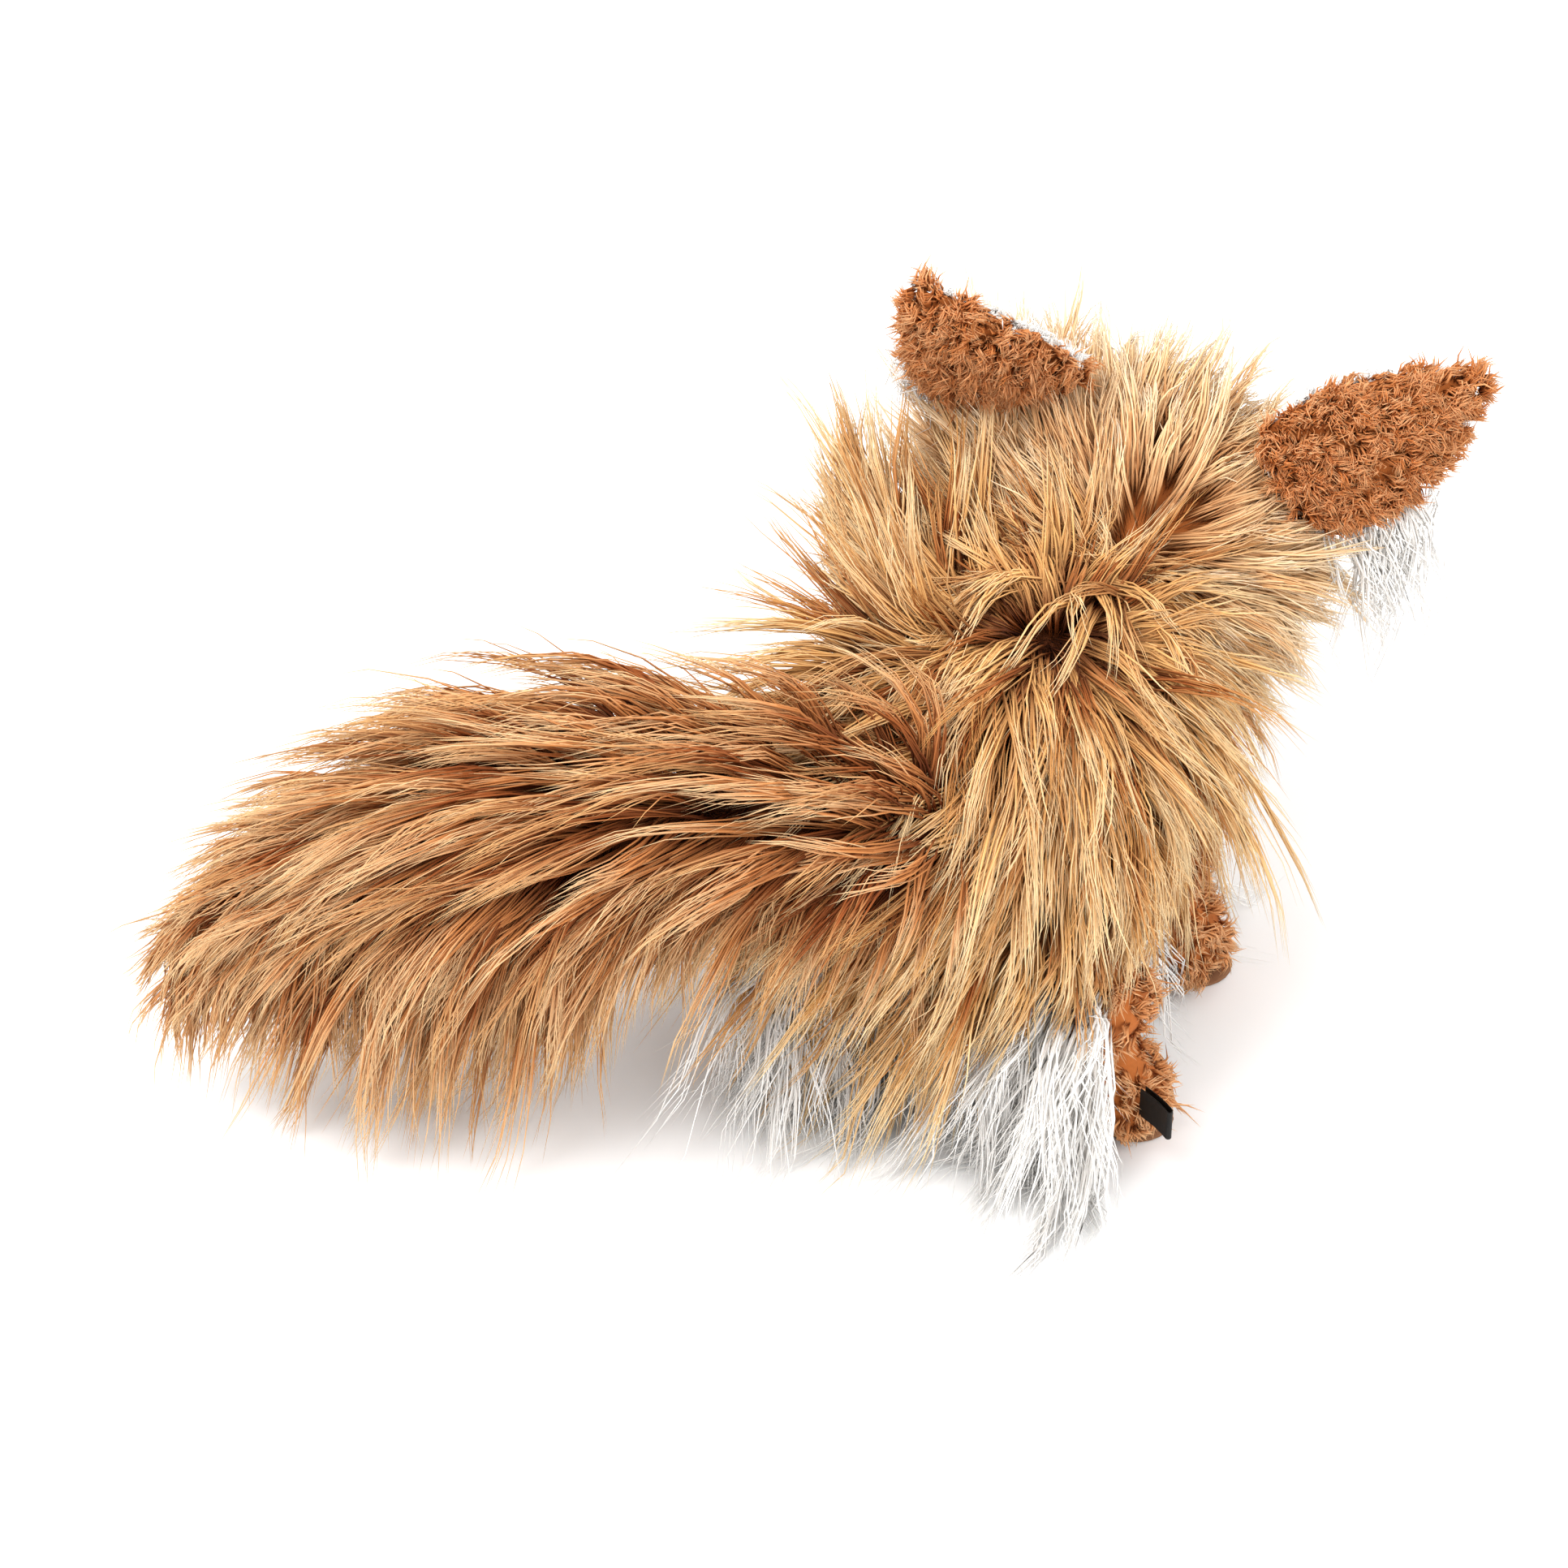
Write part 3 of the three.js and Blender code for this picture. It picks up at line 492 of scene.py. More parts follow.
def scatter(grid, count, rng):
    """Points spread by area over the faces of the rings, with their outward normals."""
    grid = outward(grid)
    right = np.roll(grid, -1, axis=1)
    a, b, c, d = grid[:-1], right[:-1], grid[1:], right[1:]
    first = np.stack((a, b, c), axis=2).reshape(-1, 3, 3)
    second = np.stack((b, d, c), axis=2).reshape(-1, 3, 3)
    faces = np.concatenate((first, second))
    square = np.cross(faces[:, 1] - faces[:, 0], faces[:, 2] - faces[:, 0])
    area = np.linalg.norm(square, axis=1)
    pick = rng.choice(len(faces), count, p=area / area.sum())
    u, v = rng.random((2, count, 1))
    fold = u + v > 1
    u, v = np.where(fold, 1 - u, u), np.where(fold, 1 - v, v)
    corner = faces[pick]
    points = corner[:, 0] + u * (corner[:, 1] - corner[:, 0]) + v * (corner[:, 2] - corner[:, 0])
    return points, unit(square[pick])


def nearest(offsets, few):
    """The places of the few shortest offsets."""
    return np.argsort(np.linalg.norm(offsets, axis=1))[:few]


def bell(offsets, width):
    """A bell over the length of offsets: 1 at none, falling with the square of length over width."""
    return np.exp(-((np.linalg.norm(offsets, axis=1) / width) ** 2))[:, None]


def trunk_level(points, sizes):
    """About how far points are outside the trunk's skin: a ball ahead and a superellipsoid behind."""
    x, y, z = np.moveaxis(points - NECK, -1, 0)
    ball = np.sqrt(x**2 + y**2 + z**2) - sizes.shoulder
    back = np.maximum(-y, 0.0) / sizes.rump_length
    part = np.clip(back, 0, 1)
    wide, high = trunk_half_sizes(part, sizes)
    ring = np.sqrt((x / wide) ** 2 + ((z + sizes.rump_drop * part**2) / high) ** 2)
    rump = (np.cbrt(ring**3 + back**3) - 1.0) * RUMP_MEAN
    return np.where(y > 0, ball, rump)


def head_middle(sizes):
    """The middle of the head."""
    return NECK + HEAD @ np.array((0.0, sizes.head_forward, sizes.head_above))


def muzzle_middle(sizes):
    """The middle of the muzzle."""
    return head_middle(sizes) + HEAD @ np.array((0.0, sizes.muzzle_forward, -sizes.muzzle_below))


def egg_level(points, middle, half):
    """About how far points are outside an ellipsoid that is turned with the head."""
    local = (points - middle) @ HEAD
    return (np.linalg.norm(local / half, axis=-1) - 1.0) * half.min()


def tail_level(points, sizes):
    """How far points are outside the stuffed tail, from the nearest of its path's points."""
    share = np.linspace(0.0, 1.0, 25)
    gap = np.linalg.norm(points[..., None, :] - tail_path(sizes, share), axis=-1)
    return (gap - tail_width(share)).min(axis=-1)


def skin_level(points, sizes):
    """The least distance to trunk, head, muzzle and tail."""
    levels = (
        trunk_level(points, sizes),
        egg_level(points, head_middle(sizes), SKULL),
        egg_level(points, muzzle_middle(sizes), MUZZLE),
        tail_level(points, sizes),
    )
    return np.min(levels, axis=0)


def skin_slope(points, sizes, step=0.0008):
    """How far points are outside the skins and the way out there, by small steps along each axis."""
    here = skin_level(points, sizes)
    shifts = np.eye(3) * step
    slope = np.stack([skin_level(points + shift, sizes) - here for shift in shifts], axis=-1)
    return here, unit(slope)


def grow(roots, normals, flow, lengths, sizes, ruffle, lift, droop, stiff, clear, steps=5):
    """Hair paths: each step turns towards the comb's flow and down, then is kept clear of skins and floor.

    The clearance opens over the first steps, and a hair that lands on the floor goes on along it.
    """
    place = roots.copy()
    heading = unit(normals * lift + flow(roots, normals) + ruffle)
    stride = lengths[:, None] / steps
    path = [place]
    for step in range(1, steps + 1):
        _, out = skin_slope(place, sizes)
        want = unit(flow(place, out) + ruffle + DOWN * droop * step / steps)
        heading = unit(heading * stiff + want * (1.0 - stiff))
        place = place + heading * stride
        level, out = skin_slope(place, sizes)
        room = clear * min(1.0, 0.35 + 0.3 * step)
        place = place + out * np.maximum(room - level, 0.0)[:, None]
        place[:, 2] = np.maximum(place[:, 2], FLOOR_CLEAR)
        landed = place[:, 2] <= FLOOR_CLEAR
        heading[:, 2] = np.where(landed, np.maximum(heading[:, 2], 0.0), heading[:, 2])
        path.append(place)
    return np.stack(path, axis=1)


def combed(towards, outward_share=0.6, inward_share=0.85):
    """A flow that follows a field of wishes, less a share of what runs into the skin or out of it."""

    def flow(points, out):
        wish = towards(points)
        inward = np.sum(wish * out, axis=-1, keepdims=True)
        return unit(wish - out * inward * np.where(inward < 0.0, inward_share, outward_share))

    return flow


def locked(guides, normals, lock, rng):
    """Hairs round each guide that draw together towards its tip, with strays, waves and uneven ends."""
    count, points, _ = guides.shape
    t = np.linspace(0.0, 1.0, points)
    side = unit(np.cross(normals, rng.normal(size=normals.shape)))
    other = np.cross(normals, side)
    angle = rng.uniform(0.0, 2 * math.pi, (count, lock.per, 1))
    reach = lock.spread * rng.uniform(0.7, 1.5, (count, 1, 1)) * np.sqrt(rng.random((count, lock.per, 1)))
    offset = reach * (np.cos(angle) * side[:, None] + np.sin(angle) * other[:, None])
    share = rng.uniform(lock.shortest, 1.0, (count, lock.per, 1)) * t * (points - 1)
    low = np.minimum(share.astype(int), points - 2)
    mix = (share - low)[..., None]
    rows = np.arange(count)[:, None, None]
    base = guides[rows, low] * (1.0 - mix) + guides[rows, low + 1] * mix
    draw = (1.0 - lock.pull * t**0.9)[:, None]
    hairs = base + offset[:, :, None] * draw
    wild = lock.stray * np.where(rng.random((count, lock.per, 1, 1)) < FLYAWAYS, FLYAWAY_REACH, 1.0)
    hairs = hairs + wild * rng.normal(size=(count, lock.per, 1, 3)) * (t**1.6)[:, None]
    along = unit(guides[:, -1] - guides[:, 0])
    first = unit(np.cross(along, rng.normal(size=along.shape)))
    second = np.cross(along, first)
    phase = rng.uniform(0.0, 2 * math.pi, (count, 1)) + 2 * math.pi * lock.turns * t
    sway = np.sin(phase)[..., None] * first[:, None] + 0.6 * np.cos(phase)[..., None] * second[:, None]
    hairs = hairs + (lock.wave * t[:, None] * sway)[:, None]
    hairs[..., 2] = np.maximum(hairs[..., 2], FLOOR_CLEAR)
    return hairs.reshape(count * lock.per, points, 3)


def short_locks(roots, normals, wish, pile, lock, rng):
    """Short curls: each lock leans along a wish, and its hairs gather and twist towards its tip."""
    t = np.linspace(0.0, 1.0, 4)[:, None]
    lean = unit(normals * 0.8 + wish * 0.7 + rng.normal(0.0, 0.4, normals.shape))
    guides = roots[:, None] + pile * rng.uniform(0.75, 1.2, (len(roots), 1, 1)) * t * lean[:, None]
    return locked(guides, normals, lock, rng)


def hanging(roots, out, reach, straight=1.0):
    """Guides that leave along a direction and bend down with the square of the way along them."""
    t = np.linspace(0.0, 1.0, 6)[:, None]
    return roots[:, None] + reach * (t * straight * out[:, None] + t**2 * DOWN * 0.5)


def lock_tones(count, rng):
    """A tone for each lock: a third of them dark, the others light."""
    return np.where(rng.random(count) < 0.33, 0.2, 0.97) + rng.normal(0.0, 0.12, count)


def hair_tones(tones, lock, rng, spread=0.09):
    """Each lock's tone for all its hairs, with a little noise."""
    return np.repeat(tones, lock.per) + rng.normal(0.0, spread, len(tones) * lock.per)


def coat_piece(name, hairs, radius, tone, look, body, rng):
    """Three-sided hairs, pointed at both ends, with a map of tone across and root to tip along."""
    count, points, _ = hairs.shape
    t = np.linspace(0.0, 1.0, points)
    along = unit(np.gradient(hairs, axis=1))
    side = unit(np.cross(along, unit(rng.normal(size=(count, 1, 3)))))
    other = np.cross(along, side)
    wide = (radius * rng.uniform(0.75, 1.2, count))[:, None] * (1.0 - t**2.2)
    angle = rounds(3)
    turn = np.cos(angle)[:, None] * side[:, :, None] + np.sin(angle)[:, None] * other[:, :, None]
    rings = hairs[:, 1:-1, None] + wide[:, 1:-1, None, None] * turn[:, 1:-1]
    verts = np.concatenate((hairs[:, :1], rings.reshape(count, -1, 3), hairs[:, -1:]), axis=1)

    inner = points - 2
    ring, right, start, end = tube(inner, 3)
    low = np.stack((ring[:-1], right[:-1], ring[1:]), axis=-1).reshape(-1, 3)
    high = np.stack((right[:-1], right[1:], ring[1:]), axis=-1).reshape(-1, 3)
    faces = np.concatenate((start, low, high, end))
    corners = (faces[None] + np.arange(count)[:, None, None] * verts.shape[1]).reshape(-1, 3)

    across = np.concatenate(([0.0], np.tile((-0.008, 0.0, 0.008), inner), [0.0]))
    down = np.concatenate(([0.01], np.repeat(t[1:-1], 3), [0.99]))
    u = np.clip(tone, 0.02, 0.98)[:, None] + across
    uv = np.stack((u, np.broadcast_to(down, u.shape)), axis=-1).reshape(-1, 2)

    mesh = mesh_piece(name, verts.reshape(-1, 3), corners.tolist(), look, body).data
    layer = mesh.uv_layers.new(name="OFBake")
    layer.data.foreach_set("uv", uv[corners].ravel())
    mesh.validate()


def coat_in_parts(name, parts, hairs, radius, tone, look, body, rng):
    """A coat cut into numbered pieces, each small enough for a file of its own."""
    for part, chosen in enumerate(np.array_split(np.arange(len(hairs)), parts), 1):
        coat_piece(f"{name}_{part}", hairs[chosen], radius, tone[chosen], look, body, rng)


def base_look(name, roughness, specular=0.3):
    """A new material and its surface shader."""
    look = bpy.data.materials.new(name)
    look.use_nodes = True
    shader = look.node_tree.nodes["Principled BSDF"]
    shader.inputs["Roughness"].default_value = roughness
    shader.inputs["Specular IOR Level"].default_value = specular
    return look, shader


def plain_look(name, tint, roughness, specular=0.3):
    """A material of one colour."""
    look, shader = base_look(name, roughness, specular)
    shader.inputs["Base Color"].default_value = (*tint, 1.0)
    return look


def coat_look(name, dark, light):
    """Hair whose colour runs from root to tip, between a dark and a light run by each hair's tone."""
    look, shader = base_look(name, roughness=0.62, specular=0.15)
    nodes, links = look.node_tree.nodes, look.node_tree.links
    chart = nodes.new("ShaderNodeUVMap")
    chart.uv_map = "OFBake"
    split = nodes.new("ShaderNodeSeparateXYZ")
    links.new(chart.outputs["UV"], split.inputs[0])
    mix = nodes.new("ShaderNodeMix")
    mix.data_type = "RGBA"
    links.new(split.outputs["X"], mix.inputs[0])
    for socket, colours in ((6, dark), (7, light)):
        ramp = nodes.new("ShaderNodeValToRGB")
        stops = ramp.color_ramp.elements
        stops[0].position, stops[1].position = 0.14, 0.92
        stops[0].color = (*colours[0], 1.0)
        stops[1].color = (*colours[-1], 1.0)
        if len(colours) == 3:
            stops.new(0.5).color = (*colours[1], 1.0)
        links.new(split.outputs["Y"], ramp.inputs["Fac"])
        links.new(ramp.outputs["Color"], mix.inputs[socket])
    links.new(mix.outputs[2], shader.inputs["Base Color"])
    return look


def cloth_look(name, tint, scale=900.0, depth=0.25, roughness=0.9):
    """Woven cloth: one colour, darkened a little by a fine noise on Object coordinates."""
    look, shader = base_look(name, roughness, specular=0.2)
    nodes, links = look.node_tree.nodes, look.node_tree.links
    place = nodes.new("ShaderNodeTexCoord")
    noise = nodes.new("ShaderNodeTexNoise")
    noise.inputs["Scale"].default_value = scale
    links.new(place.outputs["Object"], noise.inputs["Vector"])
    ramp = nodes.new("ShaderNodeValToRGB")
    ramp.color_ramp.elements[0].color = (*(c * (1.0 - depth) for c in tint), 1.0)
    ramp.color_ramp.elements[1].color = (*tint, 1.0)
    links.new(noise.outputs["Fac"], ramp.inputs["Fac"])
    links.new(ramp.outputs["Color"], shader.inputs["Base Color"])
    return look


def ready(context, seed):
    """The set sizes and a seeded generator, after the coat and cloth materials are made once."""
    tints = context.scene.dog_colours
    brown = (tuple(tints.brown_root), tuple(tints.brown_mid), tuple(tints.brown_tip))
    gold = (tuple(tints.gold_root), tuple(tints.gold_mid), tuple(tints.gold_tip))
    white = (tuple(tints.white_root), tuple(tints.white_tip))
    bright = (tuple(tints.white_tip), tuple(tints.white_tip))
    coats = {
        "brown coat": (brown, gold),
        "tail coat": (CHESTNUT, OCHRE),
        "blond coat": (FAWN, BLOND),
        "white coat": (white, bright),
        "short coat": (RUST, TAN),
    }
    cloths = {"skin": tints.skin, "rust skin": RUST[1], "pale skin": tints.pale_skin, "pad cloth": tints.pad}
    if "skin" not in bpy.data.materials:
        for name, runs in coats.items():
            coat_look(name, *runs)
        for name, tint in cloths.items():
            cloth_look(name, tint)
    return context.scene.dog_sizes, np.random.default_rng(seed)


def tufted(points):
    """How much points belong to the tufts that stand off the left shoulder and flank.

    Two bells along the body, away from the tail's root, times ramps to the left and up.
    """
    x, y, z = np.moveaxis(points - NECK, -1, 0)
    place = np.exp(-((y / SHOULDER_TUFTS) ** 2)) + 0.95 * np.exp(-(((y + FLANK_BEHIND) / FLANK_TUFTS) ** 2))
    off_tail = 1.0 - np.exp(-np.sum((points - TAIL) ** 2, axis=-1) / TAIL_ROOT_REACH**2)
    place = np.minimum(place, 1.0) * off_tail
    aside = np.clip((TUFTS_LEFT_OF - x) / TUFT_RAMP, 0.0, 1.0)
    return aside * place * np.clip(0.5 + z / TUFT_RAMP, 0.0, 1.0)


def from_parting(points):
    """From the nearest point of the parting, a level line across the back of the neck."""
    offset = points - PARTING
    share = np.clip(offset @ PARTING_ALONG, -PARTING_HALF, PARTING_HALF)
    return offset - share[..., None] * PARTING_ALONG


def parted(points):
    """Away from the parting and down, but up at the left side's tufts."""
    away = from_parting(points)
    pull = 1.0 - np.exp(-np.sum(away**2, axis=-1) / PARTING_REACH**2)
    return unit(away) * pull[..., None] + DOWN * (0.25 - 0.9 * tufted(points))[..., None]


def make_back(sizes, rng, roots, normals):
    """Long brown locks that part behind the neck, stand off the back and hang down its sides.

    They are shorter at the parting, at the tail's root and low on the right flank.
    """
    count = len(roots)
    gap = np.min([np.linalg.norm(away, axis=1) for away in (from_parting(roots), roots - TAIL)], axis=0)
    near = np.exp(-gap / SHORT_REACH)
    x, y, z = np.moveaxis(roots - NECK, -1, 0)
    flank = np.clip((x - FLANK_RIGHT) / FLANK_OVER, 0.0, 1.0) * (y < -FLANK_BACK)
    flank = flank * np.clip((FLANK_TOP - z) / FLANK_TOP, 0.0, 1.0)
    short = (1.0 - 0.6 * flank) * (1.0 - 0.4 * near)
    tuft = tufted(roots)
    lengths = sizes.back_pile * short * rng.uniform(0.62, 1.12, count) * (1.0 + 0.15 * tuft)
    ruffle = rng.normal(0.0, 0.16, (count, 3)) * (1.0 + 1.6 * near)[:, None]
    lift = np.interp(normals[:, 2], *BACK_LIFT)[:, None]
    droop = 0.9 * (1.0 - tuft)[:, None]
    clear = BACK_CLEAR + TUFT_CLEAR * tuft
    lead = bell(roots - TAIL, LEAD_REACH)
    flow = combed(lambda points: parted(points) * (1.0 - lead) + TAIL_ALONG * lead)
    guides = grow(roots, normals, flow, lengths, sizes, ruffle, lift, droop, stiff=0.62, clear=clear)
    hairs = locked(guides, normals, BACK_LOCK, rng)
    # Hairs near the parting and the tail's root take a darker tone: painted shade for the hollows there
    tone = hair_tones(lock_tones(count, rng) - 0.1 * near, BACK_LOCK, rng)
    coat_in_parts("back_coat", 3, hairs, sizes.hair, tone, "brown coat", "trunk", rng)


def make_belly(sizes, rng, roots, normals):
    """White wavy locks that hang from the belly towards the floor."""
    count = len(roots)
    lengths = sizes.belly_pile * rng.uniform(0.7, 1.3, count)
    lengths = lengths * np.where(rng.random(count) < LONG_LOCKS, 1.5, 1.0)
    level = np.array((1.0, 1.0, 0.0))
    flow = combed(lambda points: DOWN + 0.5 * unit((points - NECK) * level), outward_share=0.0)
    ruffle = rng.normal(0.0, 0.14, (count, 3))
    guides = grow(roots, normals, flow, lengths, sizes, ruffle, lift=0.5, droop=0.9, stiff=0.5, clear=0.005)
    hairs = locked(guides, normals, BELLY_LOCK, rng)
    tone = rng.uniform(0.0, 1.0, len(hairs))
    radius = sizes.hair * BELLY_HAIR
    coat_piece("belly_coat", hairs, radius, tone, "white coat", "trunk", rng)


class DOG_OT_trunk(bpy.types.Operator):
    """Makes the trunk's skin, its brown back coat and its white belly coat."""

    bl_idname = "dog.trunk"
    bl_label = "Trunk"

    def execute(self, context):
        sizes, rng = ready(context, 11)
        grid = trunk_grid(sizes)
        nodes = ("back_cover", "belly_cover", "trunk_stuffing")
        skin_piece("trunk_skin", grid, "skin", "trunk", nodes)
        roots, normals = scatter(grid, TRUNK_LOCKS, rng)
        free = egg_level(roots, head_middle(sizes), SKULL) > HEAD_GAP
        upper = roots[:, 2] > WHITE_BELOW + rng.normal(0.0, 0.004, len(roots))
        more, out = scatter(grid, TRUNK_CHOICE, rng)
        offsets = (from_parting(more), more - TAIL, more - TUFTS)
        near = np.concatenate([nearest(*pair) for pair in zip(offsets, EXTRA_LOCKS)])
        back = np.concatenate((roots[free & upper], more[near]))
        make_back(sizes, rng, back, np.concatenate((normals[free & upper], out[near])))
        make_belly(sizes, rng, roots[free & ~upper], normals[free & ~upper])
        return {"FINISHED"}


def make_mane(sizes, rng, grid):
    """Long blond locks on the head behind the face's seam, shorter below, with tufts by the left ear."""
    roots, normals = scatter(grid, MANE_LOCKS, rng)
    local = (roots - head_middle(sizes)) @ HEAD
    off_ball = np.linalg.norm(roots - NECK, axis=1) > BALL_GAP
    rear = (local[:, 1] < FACE_SEAM + rng.normal(0.0, 0.003, len(roots))) & off_ball
    more, out = scatter(grid, MANE_CHOICE, rng)
    near = nearest(more - CROWN, CROWN_LOCKS)
    roots = np.concatenate((roots[rear], more[near]))
    normals = np.concatenate((normals[rear], out[near]))
    local = (roots - head_middle(sizes)) @ HEAD
    count = len(roots)
    size = np.interp(local[:, 2] / SKULL[2], *MANE_PILE)
    lengths = sizes.head_pile * size * rng.uniform(0.6, 1.08, count)
    ruffle = rng.normal(0.0, 0.2, (count, 3))
    rise = bell(roots - CROWN, CROWN_REACH)
    upward = np.array((-0.5, 0.0, 1.2))
    flow = combed(lambda points: parted(points) * (1.0 - rise) + upward * rise)
    droop = 0.4 * (1.0 - rise)
    guides = grow(
        roots, normals, flow, lengths, sizes, ruffle, lift=0.9, droop=droop, stiff=0.6, clear=0.010
    )
    hairs = locked(guides, normals, MANE_LOCK, rng)
    tone = hair_tones(lock_tones(count, rng), MANE_LOCK, rng)
    coat_in_parts("head_coat", 2, hairs, sizes.hair, tone, "blond coat", "head", rng)


def make_ruff(sizes, rng):
    """Long hair on the band of the ruff that shows between trunk and head, combed across the parting."""
    grid = ruff_grid()
    skin_piece("ruff_skin", grid, "skin", "neck", ("neck_ruff",))
    roots, _ = scatter(grid[:RUFF_ROWS], RUFF_CHOICE, rng)
    roots = roots[egg_level(roots, head_middle(sizes), SKULL) > 0.0][:RUFF_LOCKS]
    normals = unit(roots - NECK)
    count = len(roots)
    rim = np.arccos(np.clip(normals @ RUFF_AXIS, -1.0, 1.0)) > RUFF_RIM
    ruffle = rng.normal(0.0, 0.2, (count, 3)) - RUFF_AXIS * (rim * rng.uniform(0.4, 1.6, count))[:, None]
    lengths = sizes.head_pile * rng.uniform(0.6, 1.05, count)
    cross = bell(from_parting(roots), CROSS_REACH)
    fan = -RUFF_AXIS + rng.normal(0.0, 0.45, (count, 3))
    flow = combed(lambda points: parted(points) * (1.0 - cross) + fan * cross)
    guides = grow(roots, normals, flow, lengths, sizes, ruffle, lift=0.8, droop=0.6, stiff=0.5, clear=0.014)
    hairs = locked(guides, normals, RUFF_LOCK, rng)
    tone = hair_tones(0.25 + 0.7 * lock_tones(count, rng), RUFF_LOCK, rng)
    coat_piece("ruff_coat", hairs, sizes.hair, tone, "brown coat", "neck", rng)


def make_face(sizes, rng, grid, snout):
    """Short pile on face and muzzle, combed away from the muzzle, with gaps at the eyes and the nose."""
    middle, tip = head_middle(sizes), muzzle_middle(sizes)
    buttons = [(np.mean(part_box(name), axis=0), gap) for name, gap in BUTTON_GAPS.items()]
    away = combed(lambda points: (points - tip) + DOWN * 0.01)
    for name, surface, count, look, slot, size in (
        ("face_coat", grid, FACE_HAIRS, "short coat", "short_fur_brown", 0.9),
        ("muzzle_coat", snout, MUZZLE_HAIRS, "white coat", "short_fur_pale", 0.6),
    ):
        roots, normals = scatter(surface, count, rng)
        gaps = [np.linalg.norm(roots - place, axis=1) - gap for place, gap in buttons]
        keep = np.min(gaps, axis=0) > 0.0
        if name == "face_coat":
            keep &= ((roots - middle) @ HEAD)[:, 1] > 0.0
            keep &= egg_level(roots, tip, MUZZLE) > 0.001
        else:
            keep &= egg_level(roots, middle, SKULL) > 0.0
        roots, normals = roots[keep], normals[keep]
        lengths = sizes.short_pile * size * rng.uniform(0.7, 1.1, len(roots))
        still = np.zeros_like(roots)
        hairs = grow(
            roots, normals, away, lengths, sizes, still,
            lift=0.45, droop=0.2, stiff=0.55, clear=0.0022, steps=3,
        )
        hairs = hairs + rng.normal(0.0, 0.0012, (len(hairs), 1, 3)) * np.linspace(0, 1, 4)[:, None]
        tone = rng.normal(0.6, 0.22, len(hairs))
        coat_piece(name, hairs, FACE_HAIR, tone, look, "head", rng)


class DOG_OT_head(bpy.types.Operator):
    """Makes the head's and muzzle's skins, the ruff, the long coat behind and the short coat of the face."""

    bl_idname = "dog.head"
    bl_label = "Head"

    def execute(self, context):
        sizes, rng = ready(context, 23)
        grid = egg_grid(head_middle(sizes), SKULL, HEAD)
        nodes = ("head_cover", "face_cover", "head_stuffing")
        skin_piece("head_skin", grid, "rust skin", "head", nodes)
        snout = egg_grid(muzzle_middle(sizes), MUZZLE, HEAD)
        nodes = ("muzzle_cover", "muzzle_stuffing")
        skin_piece("muzzle_skin", snout, "pale skin", "head", nodes)
        make_mane(sizes, rng, grid)
        make_ruff(sizes, rng)
        make_face(sizes, rng, grid, snout)
        return {"FINISHED"}


def make_pile(side, body, grid, sizes, rng):
    """Curls all over the leaf, those behind brown and longer, those in front white."""
    _, _, along, backward = ear_frame(side)
    roots, normals = scatter(grid, EAR_LOCKS, rng)
    behind = normals @ backward > -0.5
    pile = sizes.short_pile * np.where(behind, 0.85, 0.5)[:, None, None]
    hairs = short_locks(roots, normals, along + DOWN * 0.25, pile, EAR_LOCK, rng)
    tone = hair_tones(rng.normal(0.36, 0.16, len(roots)), EAR_LOCK, rng, spread=0.14)
    behind = np.repeat(behind, EAR_LOCK.per)
    for name, chosen, look, slot in (
        ("back", behind, "short coat", "short_fur_brown"),
        ("lining", ~behind, "white coat", "short_fur_pale"),
    ):
        piece = f"{side}_ear_{name}_coat"
        coat_piece(piece, hairs[chosen], EAR_HAIR, tone[chosen], look, body, rng)


def make_fringe(side, body, rng):
    """White locks that hang from the ear's lower edge."""
    edge, pile, count = EAR_FRINGES[side]
    _, across, _, backward = ear_frame(side)
    share = rng.uniform(0.06, 0.6, count)
    roots = ear_point(side, share, np.full(count, edge), np.full(count, -0.001))
    out = unit(across * edge + DOWN * 0.6 + backward * 0.1 + rng.normal(0.0, 0.2, (count, 3)))
    guides = hanging(roots, out, pile * rng.uniform(0.5, 1.0, (count, 1, 1)))
    hairs = locked(guides, out, FRINGE_LOCK, rng)
    tone = rng.uniform(0.2, 1.0, len(hairs))
    coat_piece(f"{side}_ear_fringe", hairs, FACE_HAIR, tone, "white coat", body, rng)


class DOG_OT_ears(bpy.types.Operator):
    """Makes both ears: a cupped leaf with curly pile behind, pale pile inside and a white fringe below."""

    bl_idname = "dog.ears"
    bl_label = "Ears"

    def execute(self, context):
        sizes, rng = ready(context, 37)
        for side in EAR_FRINGES:
            body = f"{side}_ear"
            grid = leaf_grid(side)
            nodes = (f"{side}_ear_back",)
            skin_piece(f"{side}_ear_skin", grid, "rust skin", body, nodes)
            nodes = (f"{side}_ear_lining",)
            front = leaf_grid(side, 26, LINING_END, LINING_WIDTH, LINING_HALF_THICK, front=1.0)
            skin_piece(f"{side}_lining_skin", front, "pale skin", body, nodes)
            make_pile(side, body, grid, sizes, rng)
            make_fringe(side, body, rng)
        return {"FINISHED"}


def make_feathers(name, roots, normals, sideways, sizes, rng):
    """White wavy locks that hang from the back of a hind leg and splay on the floor."""
    count = len(roots)
    reach = sizes.belly_pile * rng.uniform(0.5, 1.0, (count, 1, 1))
    reach = reach * np.where(rng.random((count, 1, 1)) < LONG_LOCKS, 1.6, 1.0)
    splay = np.array((0.15 * sideways, -0.35, -0.5))
    out = unit(normals * 0.7 + splay + rng.normal(0.0, 0.2, normals.shape))
    guides = hanging(roots, out, reach, straight=0.8)
    guides[..., 2] = np.maximum(guides[..., 2], FEATHER_CLEAR)
    hairs = locked(guides, normals, FEATHER_LOCK, rng)
    tone = rng.uniform(0.1, 1.0, len(hairs))
    body = f"{name}_leg"
    coat_piece(f"{name}_feathers", hairs, FEATHER_HAIR, tone, "white coat", body, rng)


